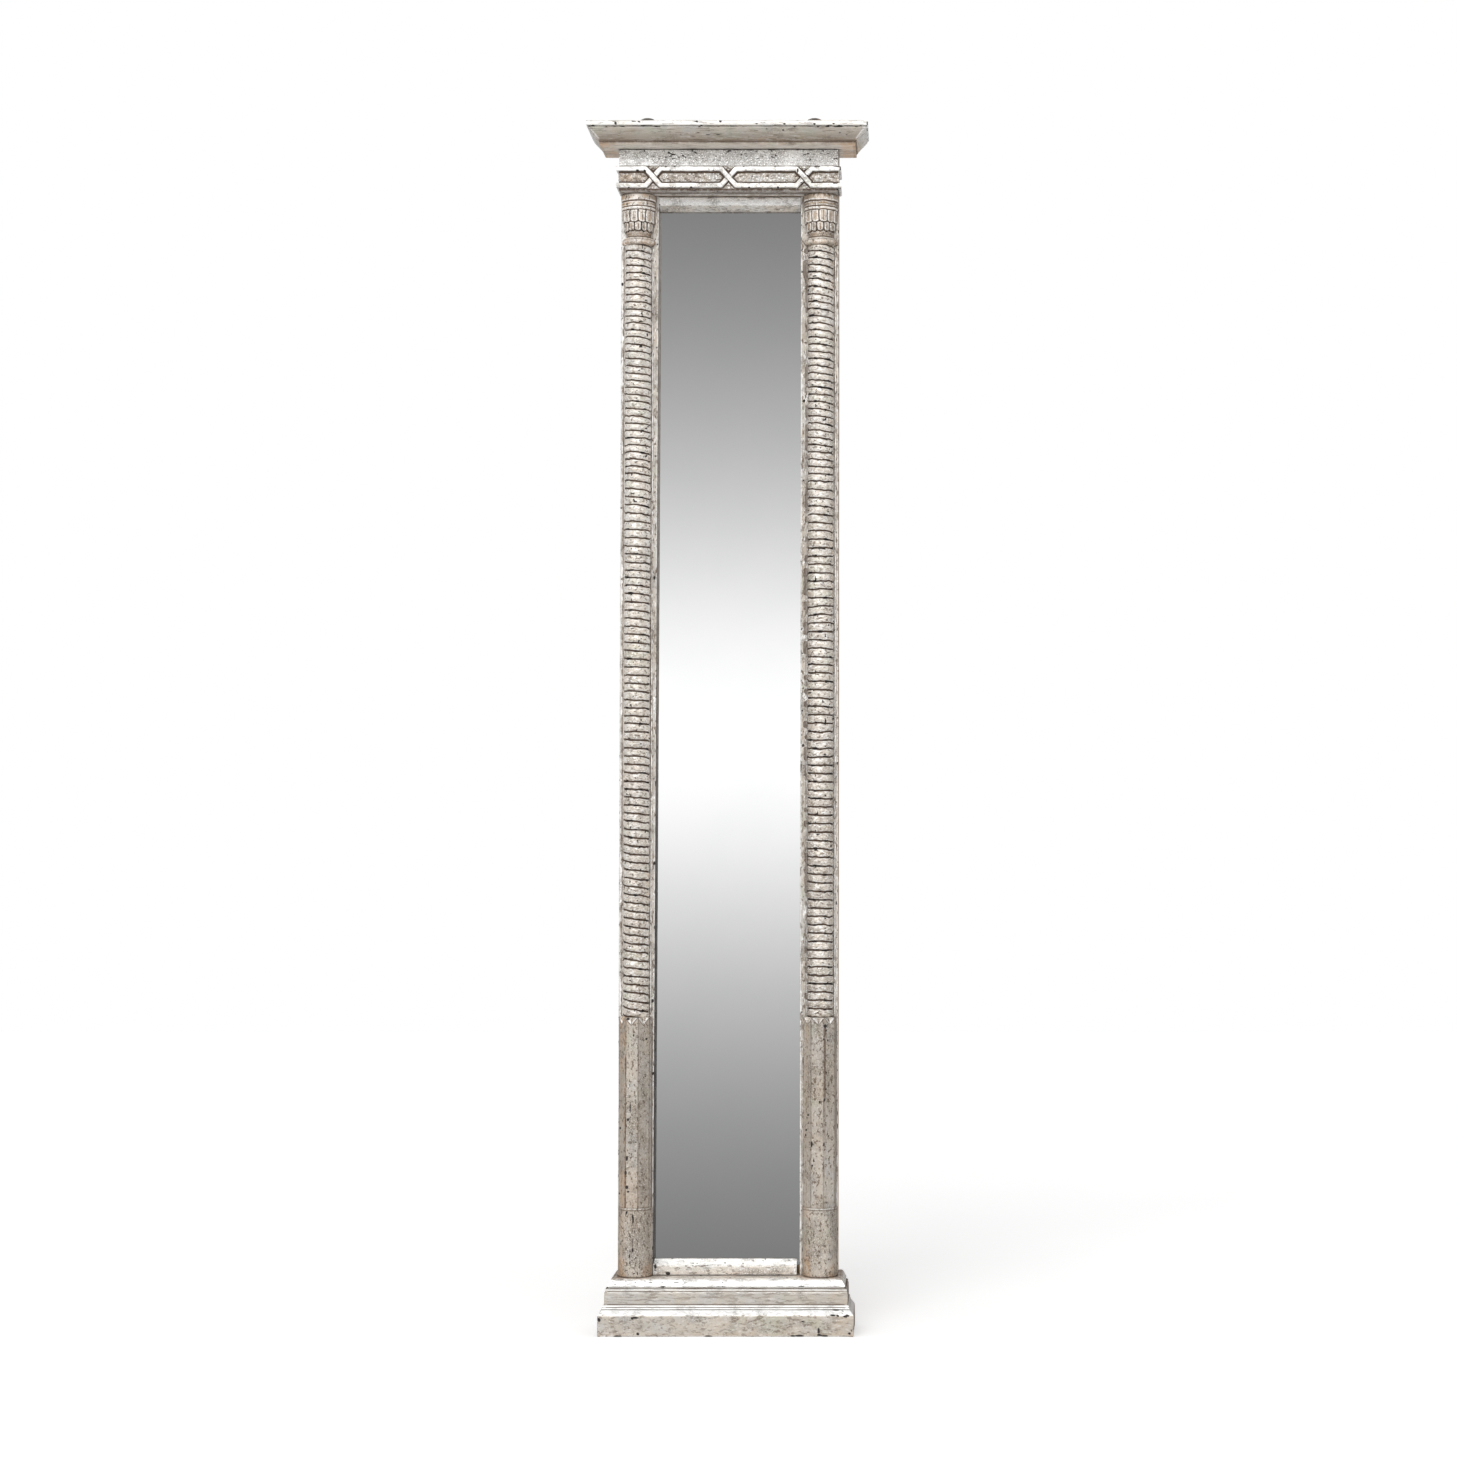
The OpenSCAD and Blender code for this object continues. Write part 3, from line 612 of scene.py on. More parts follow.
LEAF_Z = silver_leaf("silver_leaf_upright", (1.0, 1.0, 0.6), light=0.905, warm=0.20, fleck=1.45, crackle=0.25, cool=0.35, rub=0.25, grit=370)
LEAF_STILE = silver_leaf("silver_leaf_stile", (1.0, 1.0, 0.4), light=0.85, fleck=1.0, crackle=0.3, cool=0.6)
LEAF_X = silver_leaf("silver_leaf_level", (0.35, 1.0, 1.0), fleck=0.7, crackle=0.35)
LEAF_ROPE = silver_leaf("silver_leaf_rope", (0.6, 1.0, 1.0), light=0.90, fleck=1.0, crackle=0.15, grit=340)
LEAF_CAP = silver_leaf("silver_leaf_capital", (1.0, 1.0, 0.6), light=0.88, warm=1.0, fleck=0.9, crackle=0.3)
LEAF_FRIEZE = silver_leaf("silver_leaf_frieze", (0.6, 1.0, 1.0), light=1.16, crackle=0.6, cool=0.5, fleck=1.4)
LEAF_STRAP = silver_leaf("silver_leaf_straps", (0.6, 1.0, 1.0), light=1.08, crackle=0.5, cool=0.3, fleck=0.55)
LEAF_SLOPE = silver_leaf("silver_leaf_cornice", (0.16, 1.0, 1.0), light=0.88, crackle=0.10, fleck=0.45, rub=0.35)
LEAF_COOL = silver_leaf("silver_leaf_plinth", (0.14, 1.0, 1.0), light=0.82, crackle=0.10, cool=0.9, fleck=0.40, rub=0.45)
LEAF_BASE = silver_leaf("silver_leaf_base", (0.45, 1.0, 1.0), light=0.90, crackle=0.15, cool=0.3, fleck=0.55, rub=0.35)
LEAF_LINTEL = silver_leaf("silver_leaf_lintel", (0.35, 1.0, 1.0), light=1.03, fleck=0.8, crackle=0.5)
WOOD_Z = bare_wood("old_pine_upright", (1.0, 1.0, 0.06))
WOOD_X = bare_wood("old_pine_level", (0.06, 1.0, 1.0))
BOARD_Z = bare_wood("old_backboard", (1.0, 1.0, 0.05), 0.82)
IRON = old_iron("aged_iron", (0.10, 0.095, 0.09), 0.85, 0.48, 0.8)
WIRE = old_iron("dull_wire", (0.13, 0.125, 0.115), 0.80, 0.42, 0.45)
GLASS = mirror_glass("silvered_plate")


# ------------------------------------------------------------------ columns
def half_column(name, side, zs, radius, layers=None, n_theta=49, body="frame", material=None, replaces=(),
                seed=1, wear=0.6, dents=0.6, breadth=(3, 0.28), gain=1.0):
    """A half round on the face stile: radius(theta, z) in mm, theta 0 to the front and 90 to the right."""
    th = np.radians(np.linspace(-90, 90, n_theta))
    T, Z = np.meshgrid(th, zs)
    R = radius(T, Z)
    x = side * COLX + R * np.sin(T)
    y = (YB - FACE) - R * np.cos(T)
    ring = np.stack([x, y, Z], 2)
    # flat back, just inside the stile's face
    back = []
    for f in (0.66, 0.33):
        xb = x[:, -1] * f + x[:, 0] * (1 - f)
        back.append(np.stack([xb, np.full(len(zs), YB - FACE + 0.05), zs], 1))
    rings = np.concatenate([ring, np.stack(back, 1)], 1)
    V, F = loft(rings)
    p = Piece(name)
    lay = {}
    if layers:
        for key, fn in layers.items():
            a = fn(T, Z, R)
            lay[key] = np.concatenate([a, np.zeros((len(zs), 2))], 1).ravel()
    # the ends butt against their neighbours: no rubbed edge there
    lay["gain"] = gain * np.repeat(smooth(0.8, 5.0, np.minimum(zs - zs[0], zs[-1] - zs)), ring.shape[1] + 2)
    p.add(V, F, **lay)
    return build(p, body, material or LEAF_Z, replaces, wear, dents, 50, seed, breadth,
                 fixed=lambda V: (V[:, 1] > YB - FACE - 0.3).astype(float), chip_rate=-1.5)


def pts_tz(T, Z, side):
    """Points on a unit shaft for noise, so that both columns differ."""
    return np.stack([side * COLX + 16 * np.sin(T), -16 * np.cos(T), Z], -1)


def octagon_flat(T, turn):
    """Angle from the middle of the nearest flat."""
    a = (T - turn + math.radians(22.5)) % math.radians(45) - math.radians(22.5)
    return a


def coil_phase(Z, side):
    """Number of coils below a height; the pitch eases from one value to the other."""
    n_up = round((ZROPE1 - ZJOIN) / 8.69)
    n_lo = round((ZJOIN - ZROPE0) / (9.76 if side < 0 else 10.15))
    up, lo = (ZROPE1 - ZJOIN) / n_up, (ZJOIN - ZROPE0) / n_lo
    return np.where(Z < ZJOIN, (Z - ZROPE0) / lo, n_lo + (Z - ZJOIN) / up), up, lo


def rope(side, name):
    zs = np.linspace(ZROPE0, ZROPE1, 1500)

    def cut(T, Z):
        """Phase within a coil and the distance in mm from its nearest groove."""
        P = pts_tz(T, Z, side)
        ph, up, lo = coil_phase(Z + 0.55 * noise(P, (14, 14, 9), 31) + 0.9 * noise(P * [1, 1, 0.35], (30, 30, 12), 32), side)
        pitch = np.where(Z < ZJOIN, lo, up)
        # on the right shaft the cuts from the two sides don't quite meet
        kink = 0.55 * np.tanh((T - 0.05) / 0.10) * (0.6 + 0.4 * noise(P, (60, 60, 7), 30)) if side > 0 else 0.0
        # the cuts drop to the right; on the right shaft they run level lower down
        if side > 0:
            fall = np.interp(Z, [ZROPE0, 900, 1120, ZROPE1], [0.12, 0.12, 0.75, 1.15])
        else:
            fall = np.interp(Z, [ZROPE0, 520, 700, 1000, ZROPE1], [1.35, 1.0, 0.45, 0.75, 1.05])
        wave = 0.42 * noise(np.stack([T * 2.6, Z / 7.5, np.full_like(T, side * 9.0)], -1), 1.0, 34)
        u = ph + fall * T / (2 * math.pi) + (kink * fall + wave) / pitch
        f = u - np.floor(u)
        return P, u, f, np.minimum(f, 1 - f) * pitch

    def radius(T, Z):
        P, u, f, d = cut(T, Z)
        k = np.floor(u)
        deep = 1.0 + 0.30 * noise(P, (9, 9, 5), 33)
        g = np.exp(-(d / 0.80) ** 2) * 1.75 * deep + 1.05 * np.exp(-(d / 2.3) ** 2)
        # each coil is cut a little differently
        own = 0.22 * noise(np.stack([k * 3.7, T * 2.2, np.full_like(T, side * 5.0)], -1), 1.0, 35)
        facet = 0.26 * np.abs(np.sin(3.2 * T + 1.7 * np.sin(1.3 * k))) + 0.20 * noise(P, (5, 5, 3), 36) + 0.14 * noise(P, (2.4, 2.4, 1.3), 37)
        return 16.55 + own * 0.7 - g - facet

    def chip(T, Z, R):
        P, u, f, d = cut(T, Z)
        a = smooth(0.36 if side > 0 else 0.46, 0.50 if side > 0 else 0.60, noise(P, (6.5, 6.5, 2.2), 41)) * smooth(1.9, 0.9, d)
        b = smooth(0.78, 0.84, noise(P, (3.0, 3.0, 2.4), 42))
        x, z = R * np.sin(T), Z
        if side > 0:
            b = np.maximum(b, 1.2 * np.exp(-((x - 7.2) / 1.6) ** 2 - ((z - 778.3) / 1.5) ** 2))
            b = np.maximum(b, 1.2 * np.exp(-((x + 13.1) / 2.2) ** 2 - ((z - 765.3) / 1.0) ** 2))
        else:
            b = np.maximum(b, 1.2 * np.exp(-((x + 14.6) / 1.6) ** 2 - ((z - 1301) / 1.5) ** 2))
        return np.maximum(a * 0.8, b * 0.9)

    def tone(T, Z, R):
        P = pts_tz(T, Z, side)
        inner = T * -side
        low = smooth(1000, 500, Z)
        Q, u, f, d = cut(T, Z)
        painted_glint = smooth(0.0, 0.5, noise(P, (3.4, 3.4, 1.1), 46)) * smooth(1.6, 3.0, d)
        # painted highlight in a narrow strip down the front, a little left of centre; painted shade on the lower part
        # of each coil
        t = 0.12 * noise(P, (30, 30, 50), 45) + 0.03 * smooth(0.55, 0.0, np.abs(T + 0.18)) - (0.27 if side < 0 else 0.23) * low - 0.10 - 0.14 * smooth(0.34, 0.08, f)
        # painted highlight: glints on the crowns of the coils, strongest a little left of centre
        t = t + 0.36 * painted_glint * smooth(0.95, 0.2, np.abs(T + 0.12)) + 0.16 * painted_glint
        # painted shade on the flanks of the right shaft, most on its inner flank; painted light on the flanks of the
        # left shaft
        if side > 0:
            t = t - 0.40 * smooth(0.4, 1.1, inner) - 0.04 * smooth(0.6, 1.3, -inner)
        else:
            t = t + 0.40 * smooth(0.45, 0.9, np.abs(T))
        return t

    def stain(T, Z, R):
        P, u, f, d = cut(T, Z)
        low = smooth(1100, 600, Z)
        # dark in the grooves: painted shade, and dirt
        a = smooth(0.78, 0.10, d - 0.42 - 0.30 * low + 0.35 * noise(P, (3.5, 3.5, 2.0), 47)) * 0.97
        inner = T * -side
        # b: dark where the shaft meets the stile, contact shade and dirt; c: painted shade on the inner flanks, most on
        # the right shaft
        b = smooth(1.28, 1.50, np.abs(T) + 0.16 * noise(P, (20, 20, 5), 48)) * np.where((side < 0) & (T < 0), 0.30, 0.75)
        c = smooth(0.15, 0.6, noise(P, (5, 5, 4), 49)) * smooth(0.85, 1.3, inner) * (0.35 if side > 0 else 0.15)
        return np.clip(np.maximum(a, np.maximum(b, c)), 0, 1)

    def patina(T, Z, R):
        P = pts_tz(T, Z, side)
        Q, u, f, d = cut(T, Z)
        near = smooth(2.8, 0.9, d) * (0.45 + 0.30 * noise(P, (9, 9, 6), 51))
        return np.clip(0.50 * smooth(0.1, 0.6, noise(P, (8, 8, 14), 50)) * smooth(0.3, 1.2, np.abs(T)) + near + 0.12, 0, 1)

    return half_column(name, side, zs, radius, {"chip": chip, "tone": tone, "stain": stain, "patina": patina}, 51, material=LEAF_ROPE,
                       replaces=("rope_shaft_left" if side < 0 else "rope_shaft_right",), seed=50 + side,
                       wear=0.35, dents=0.30, breadth=(1.6, 0.22))


def octagon(side, name):
    zs = np.concatenate([np.linspace(ZOCT, ZROPE0 - 14, 130), np.linspace(ZROPE0 - 13.5, ZROPE0, 30)])
    turn = TURN[side]

    def vee(T, Z):
        """Height above the lower edge of the pointed stop on this flat, in mm."""
        u = np.abs(19.1 * np.tan(octagon_flat(T, turn))) / 7.91
        return Z - (ZROPE0 - 9.0 * (1 - u) + 0.3)

    def radius(T, Z):
        a = octagon_flat(T, turn)
        r = 19.1 / np.cos(a)
        r = np.where(r > 20.35, 20.35 + (r - 20.35) * 0.45, r)          # arrises slightly rounded
        h = np.clip(vee(T, Z), 0, 20)
        r = r - 0.34 * h - 0.35 * smooth(0.0, 0.7, h)
        return r - 0.5 * smooth(ZROPE0 - 1.0, ZROPE0, Z)

    def tone(T, Z, R):
        P = pts_tz(T, Z, side)
        h = vee(T, Z)
        a = octagon_flat(T, turn)
        flat = np.round((T - turn) / math.radians(45))
        # painted light and shade: each flat lighter or darker by how it faces the light
        own = {-2: -0.12, -1: 0.02, 0: 0.04, 1: -0.10, 2: -0.16} if side < 0 else {-2: -0.12, -1: -0.04, 0: -0.02, 1: 0.05, 2: -0.10}
        t = np.zeros_like(T)
        for q, val in own.items():
            t = np.where(flat == q, val, t)
        t = t + 0.08 * noise(P, (30, 30, 60), 61) - (0.38 if side < 0 else 0.34)
        # painted highlight along the edges of the pointed stops, painted light on the upward-sloping stop facets above
        # them, and a painted highlight along the arrises
        lip = smooth(1.9, 0.9, np.abs(h - 1.0)) * (1.05 + 0.3 * noise(P, (5, 5, 5), 65)) * (ZROPE0 - Z > 0.4)
        fill = smooth(1.5, 2.4, h) * (0.15 + 0.25 * (np.abs(T) > 0.75))
        arris = smooth(0.050, 0.0, math.radians(22.5) - np.abs(a)) * (0.04 + 0.12 * noise(P, (4, 4, 8), 67))
        return t + lip + fill + arris - 0.45 * smooth(ZOCT + 1.6, ZOCT + 0.4, Z)

    def patina(T, Z, R):
        P = pts_tz(T, Z, side)
        outer = smooth(0.55, 0.9, T * side if side > 0 else -T)
        base = 0.30 * smooth(0.1, 0.6, noise(P, (10, 10, 45), 63))
        if side < 0:
            base = base + 0.65 * smooth(0.20, 0.04, np.abs(T - turn + math.radians(24.5)))
        return np.clip(base + (0.48 * outer if side < 0 else 0.35 * smooth(0.5, 0.9, -T)), 0, 1)

    def stain(T, Z, R):
        P = pts_tz(T, Z, side)
        a = octagon_flat(T, turn)
        h = vee(T, Z)
        rim = smooth(1.0, 0.3, np.abs(h + 0.75)) * smooth(-12, -9, Z - ZROPE0) * 0.95
        flat = np.round((T - turn) / math.radians(45))
        # a thin dark line on one side of each arris
        line = smooth(0.060, 0.028, np.abs(a - math.radians(20.0) * (1 if side > 0 else -1))) * (0.50 + 0.30 * noise(P, (6, 6, 14), 69))
        line = np.where((side < 0) & (np.abs(T - turn + math.radians(22.5)) < 0.12), line * 1.6, line)
        if side > 0:
            crack = 1.2 * smooth(1.2, 0.5, np.abs(R * np.sin(T) - 6.2 - 0.3 * noise(P, (50, 50, 9), 64))) * (0.35 * smooth(205, 225, Z) + 0.65 * smooth(272, 285, Z)) * smooth(366, 362, Z)
            line = np.maximum(line, crack)
        # dark where the octagon meets the stile: contact shade and dirt
        edge = smooth(1.38, 1.52, np.abs(T)) * 0.8
        return np.clip(np.maximum(np.maximum(rim, line), edge), 0, 1)

    def crack(T, Z, R):
        P = pts_tz(T, Z, side)
        band = smooth(-0.1, 0.45, noise(P, (14, 14, 60), 62))
        return np.clip(0.28 + 0.60 * band * smooth(1.2, 0.6, np.abs(T + 0.1)) * smooth(350, 290, Z), 0, 1)

    def chip(T, Z, R):
        P = pts_tz(T, Z, side)
        x = R * np.sin(T)
        c = smooth(0.90, 0.94, noise(P, (3, 3, 5), 66)) * 0.8
        marks = [(6.6, 365.6, 2.0, 2.0), (-14.0, 259.0, 1.1, 1.2), (9.5, 348.6, 0.9, 1.0), (5.9, 277.8, 1.0, 1.6), (-16.4, 240.9, 1.1, 1.2), (-16.9, 235.0, 1.1, 1.2),
                 (-9.6, 224.7, 1.2, 3.2), (-8.7, 199.2, 1.0, 1.1), (5.2, 224.7, 0.8, 2.2)] if side > 0 else \
            [(-1.0, 354.4, 1.1, 1.2), (13.7, 349.9, 1.2, 1.4), (-7.6, 253.9, 1.3, 1.8), (-17.9, 242.9, 1.2, 1.4), (-8.0, 374.0, 1.8, 1.5), (-4.9, 268.0, 0.45, 7.0),
             (-8.8, 207.7, 1.3, 2.8), (-10.4, 190.7, 1.5, 2.3), (-8.7, 173.4, 1.7, 2.0), (-7.2, 168.2, 1.5, 0.9)]
        for mx, mz, w, h in marks:
            c = np.maximum(c, 1.25 * np.exp(-((x - mx) / w) ** 2 - ((Z - mz) / h) ** 2))
        return c

    return half_column(name, side, zs, radius, {"tone": tone, "patina": patina, "chip": chip, "stain": stain, "crack": crack}, 91,
                       material=LEAF_Z, replaces=("column_octagon_left" if side < 0 else "column_octagon_right",), seed=70 + side,
                       wear=0.5, dents=0.6, breadth=(1.6, 0.50), gain=0.45)


def foot(side, name):
    zs = np.concatenate([[ZCOL, ZCOL + 0.6], np.linspace(ZCOL + 1.6, ZOCT - 2.4, 60), np.linspace(ZOCT - 1.8, ZOCT, 8)])

    def radius(T, Z):
        P = pts_tz(T, Z, side)
        r = 20.45 - 0.9 * smooth(ZCOL + 1.2, ZCOL, Z) + 0.15 * noise(P, (12, 12, 30), 70)
        top = np.clip((Z - (ZOCT - 1.1)) / 1.1, 0, 1)
        return r - 0.7 * top ** 2

    def tone(T, Z, R):
        P = pts_tz(T, Z, side)
        # painted highlight on the eased top edge, strongest at the front; painted shade on the flanks
        return 0.12 * noise(P, (20, 20, 30), 71) - 0.22 + 0.75 * smooth(ZOCT - 1.3, ZOCT - 0.8, Z) * smooth(1.0, 0.7, np.abs(T - 0.15)) \
            - 0.10 * smooth(0.5, 1.3, np.abs(T))

    def patina(T, Z, R):
        P = pts_tz(T, Z, side)
        low = smooth(ZCOL + 26, ZCOL + 2, Z + 8 * noise(P, 9, 73))
        return np.clip((0.25 + 0.95 * smooth(0.35, 0.85, np.abs(T))) * low + 0.45 * smooth(0.30, 0.9, -T) + 0.25 * smooth(0.9, 1.3, T) + 0.08, 0, 1)

    def stain(T, Z, R):
        # dark where the foot meets the stile, contact shade and dirt; also darker at its bottom and in a line under its
        # top edge
        return np.clip(smooth(1.36, 1.52, np.abs(T)) * 0.85 + 0.8 * smooth(ZCOL + 1.5, ZCOL + 0.3, Z)
                       + 0.7 * smooth(0.9, 0.2, np.abs(Z - (ZOCT - 2.2))), 0, 1)

    def crack(T, Z, R):
        P = pts_tz(T, Z, side)
        return np.clip(0.35 + 0.55 * smooth(-0.2, 0.5, noise(P, (10, 10, 30), 72)), 0, 1)

    def chip(T, Z, R):
        P = pts_tz(T, Z, side)
        m = smooth(0.83, 0.89, noise(P, (1.6, 1.6, 4), 75)) * (0.9 if side < 0 else 0.0) * smooth(0.9, 0.5, np.abs(T))
        x = R * np.sin(T)
        if side < 0:
            for mx, mz, w, h in ((-0.9, 134.9, 0.9, 4.6), (-1.8, 139.5, 0.45, 3.0), (-1.2, 99.2, 1.0, 2.6), (-1.6, 109.0, 0.45, 5.0), (-3.2, 118.0, 0.40, 6.0), (-5.2, 92.0, 0.7, 2.6),
                                 (-4.6, 84.0, 0.6, 2.0), (1.2, 121.0, 0.40, 2.6), (2.6, 90.0, 0.6, 1.4)):
                m = np.maximum(m, 1.2 * np.exp(-((x - mx) / w) ** 2 - ((Z - mz) / h) ** 2))
        return m

    return half_column(name, side, zs, radius, {"tone": tone, "patina": patina, "chip": chip, "stain": stain, "crack": crack}, 71,
                       material=LEAF_Z, replaces=("column_foot_left" if side < 0 else "column_foot_right",), seed=80 + side,
                       wear=0.3, dents=0.7, breadth=(1.2, 0.60))


CAP = [(0.0, 16.0), (0.3, 17.6), (1.2, 19.2), (3.0, 19.9), (5.2, 19.7), (7.2, 18.5), (8.3, 16.8), (9.0, 15.3), (10.2, 14.6),
       (13.0, 14.5), (15.4, 15.0), (16.6, 15.3), (16.9, 17.0), (19.0, 17.4), (24.0, 17.3), (26.2, 17.5), (26.8, 17.9), (27.1, 19.2),
       (29.0, 19.6), (36.0, 19.5), (40.4, 19.7), (41.2, 18.8), (41.9, 19.4), (43.0, 20.6), (44.4, 20.8), (45.2, 20.1), (45.8, 19.5),
       (46.6, 20.1), (47.4, 20.5), (51.0, 20.5), (52.0, 19.5), (52.9, 19.7), (53.6, 20.9), (54.4, 21.2), (59.0, 21.2), (60.1, 20.9), (61.1, 20.3)]


def capital(side, name):
    zs = ZROPE1 + np.linspace(0, 61.1, 190)
    cz = np.array([c[0] for c in CAP])
    cr = np.array([c[1] for c in CAP])

    def leaf(T, n, off, P):
        f = (T / (2 * math.pi) * n + off + 0.13 * noise(P, (6, 6, 14), 88)) % 1.0
        return np.abs(f - 0.5) * 2                       # 0 in the middle of a leaf, 1 between two

    def tiers(T, Z):
        h = Z - ZROPE1 + 0.35 * noise(pts_tz(T, Z, side), (6, 6, 20), 89)
        P = pts_tz(T, Z, side)
        lo, up = leaf(T, 13, 0.5 + 0.1 * side, P), leaf(T, 12, 0.15 * side, P)
        d_lo = 16.4 + 3.9 * lo ** 3 + 0.5 * noise(P, (3, 3, 30), 90)
        d_up = 26.8 + 2.6 * up ** 3
        in_lo = smooth(d_lo - 0.3, d_lo + 0.3, h) * smooth(27.4, 26.8, h)
        in_up = smooth(d_up - 0.3, d_up + 0.3, h) * smooth(41.7, 41.1, h)
        return P, h, lo, up, in_lo, in_up, d_lo, d_up

    def radius(T, Z):
        P, h, lo, up, in_lo, in_up, d_lo, d_up = tiers(T, Z)
        r = np.interp(h, cz, cr)
        # lower row: short lobes with rounded lower tips
        r = np.where((h > 15.6) & (h < 27.2), 14.7 + 2.9 * in_lo, r)
        r = r - in_lo * (2.0 * np.exp(-((1 - lo) / 0.17) ** 2) + 0.25 * np.exp(-(lo / 0.14) ** 2))
        # upper row: tall reeds, eased at their feet
        r = np.where((h > 26.6) & (h < 41.0), 16.9 * (1 - in_up) + (19.5 + 0.25 * (h - 28) / 13) * in_up, r)
        r = r - in_up * (1.9 * np.exp(-((1 - up) / 0.13) ** 2) + 0.22 * np.exp(-(up / 0.13) ** 2))
        return r + 0.16 * noise(P, 4.0, 91)

    def patina(T, Z, R):
        P, h = pts_tz(T, Z, side), Z - ZROPE1
        return 0.38 + 0.55 * smooth(0.0, 0.5, noise(P, 6.0, 93)) * smooth(8, 16, h) + 0.3 * smooth(0.7, 1.3, np.abs(T)) + 0.25 * smooth(9, 7, h)

    def tone(T, Z, R):
        P, h, lo, up, in_lo, in_up, d_lo, d_up = tiers(T, Z)
        # painted highlight down the front a little left of centre, painted shade on the flanks, and painted highlights
        # on the bead 43 to 45 mm up and on the torus at the foot
        t = 0.12 * noise(P, 6.0, 95) + 0.30 * smooth(0.6, 0.0, np.abs(T + 0.12)) - (0.24 if side > 0 else 0.0)
        return t - 0.22 * smooth(0.7, 1.4, np.abs(T)) + 0.25 * smooth(42.6, 43.4, h) * smooth(45.2, 44.6, h) + 0.2 * smooth(1.5, 3.0, h) * smooth(6.0, 4.5, h)

    def stain(T, Z, R):
        P, h, lo, up, in_lo, in_up, d_lo, d_up = tiers(T, Z)
        # painted shade: dark in the creases between the leaves, painted shadow under the tips of both rows of leaves,
        # under the torus and under the frieze at the top, dark lines in the grooves between the rings, and dark where
        # the capital meets the stile
        s = 1.0 * in_lo * smooth(0.78, 0.92, lo) + 0.95 * in_up * smooth(0.84, 0.95, up)
        s = s + 0.12 * in_lo * smooth(0.14, 0.04, lo) + 0.05 * in_up * smooth(0.12, 0.03, up)
        s = s + 0.95 * smooth(0.8, 0.15, np.abs(h - d_lo + 0.7)) + 0.9 * smooth(0.75, 0.15, np.abs(h - d_up + 0.6)) * (h > 25)
        for z0, w in ((41.6, 0.6), (45.9, 0.5), (52.3, 0.6), (8.9, 0.7), (60.9, 0.9)):
            s = s + 0.85 * smooth(w, 0.15, np.abs(h - z0 + 0.2 * noise(P, (5, 5, 30), 97)))
        s = s + 0.45 * smooth(0.8, 0.2, np.abs(h - 12.2)) + 0.6 * smooth(0.7, 0.2, np.abs(h - 5.4 + 0.4 * noise(P, (6, 6, 30), 100))) + smooth(1.42, 1.52, np.abs(T))
        return np.clip(s, 0, 1)

    def chip(T, Z, R):
        P, h, lo, up, in_lo, in_up, d_lo, d_up = tiers(T, Z)
        # painted shadow: black gaps under the tips of the lower leaves, carried in the chip layer
        c = 0.9 * smooth(0.9, 0.2, np.abs(h - d_lo + 0.8)) * smooth(0.0, 0.4, noise(P, (5, 5, 30), 98))
        return c * smooth(1.3, 0.8, np.abs(T))

    def crack(T, Z, R):
        h = Z - ZROPE1
        return 0.45 * smooth(9, 12, h) * smooth(27, 16, h) + (0.7 if side > 0 else 0.15) * smooth(44, 47, h) * smooth(53, 51, h) + 0.2

    return half_column(name, side, zs, radius, {"tone": tone, "patina": patina, "crack": crack, "stain": stain, "chip": chip}, 141,
                       material=LEAF_CAP, replaces=("capital_left" if side < 0 else "capital_right",), seed=90 + side,
                       wear=0.3, dents=0.2, breadth=(1.3, 0.20))


for side, tag in ((-1, "left"), (1, "right")):
    rope(side, "carved_rope_" + tag)
    octagon(side, "carved_octagon_" + tag)
    foot(side, "turned_foot_" + tag)
    capital(side, "carved_capital_" + tag)


# ------------------------------------------------------------------ flat members
def flat_layers(V, seed, patina_fn=None, tone=0.0, crack=0.0):
    lay = {"tone": tone + 0.08 * fbm(V, 60, seed, 2), "patina": 0.25 * smooth(0.1, 0.6, fbm(V, 30, seed + 1, 2)),
           "crack": np.full(len(V), crack)}
    if patina_fn is not None:
        lay["patina"] = np.clip(lay["patina"] + patina_fn(V), 0, 1)
    return lay


def flat(name, geo, material, replaces, seed, tone=0.0, crack=0.0, patina_fn=None, wear=0.8, dents=0.8, slot="silver_leaf",
         sharp=40, breadth=(2.2, 0.30), chip_rate=0.5, fixed=None, chip_fn=None, stain_and_shade_fn=None, tone_fn=None):
    V, F = geo
    lay = flat_layers(V, seed, patina_fn, tone, crack)
    if chip_fn is not None:
        lay["chip"] = chip_fn(V)
    if stain_and_shade_fn is not None:
        lay["stain"] = stain_and_shade_fn(V)
    if tone_fn is not None:
        lay["tone"] = lay["tone"] + tone_fn(V)
    return build(Piece(name).add(V, F, **lay), "frame", material, replaces, wear, dents, sharp, seed, breadth,
                 fixed=fixed, chip_rate=chip_rate)


def column_edge(z):
    """Half width of a column at a height."""
    cap = np.interp(z - ZROPE1, [c[0] for c in CAP], [c[1] for c in CAP])
    return np.where(z < ZOCT, 20.4, np.where(z < ZROPE0, 19.5, np.where(z < ZROPE1, 15.9, cap)))


def sight(x, z):
    """Half width of the opening on one side; the left stile narrows towards its foot."""
    return OW + np.where(x < 0, 3.4 * (ZFRZ - z) / (ZFRZ - ZCOL), 0.0)


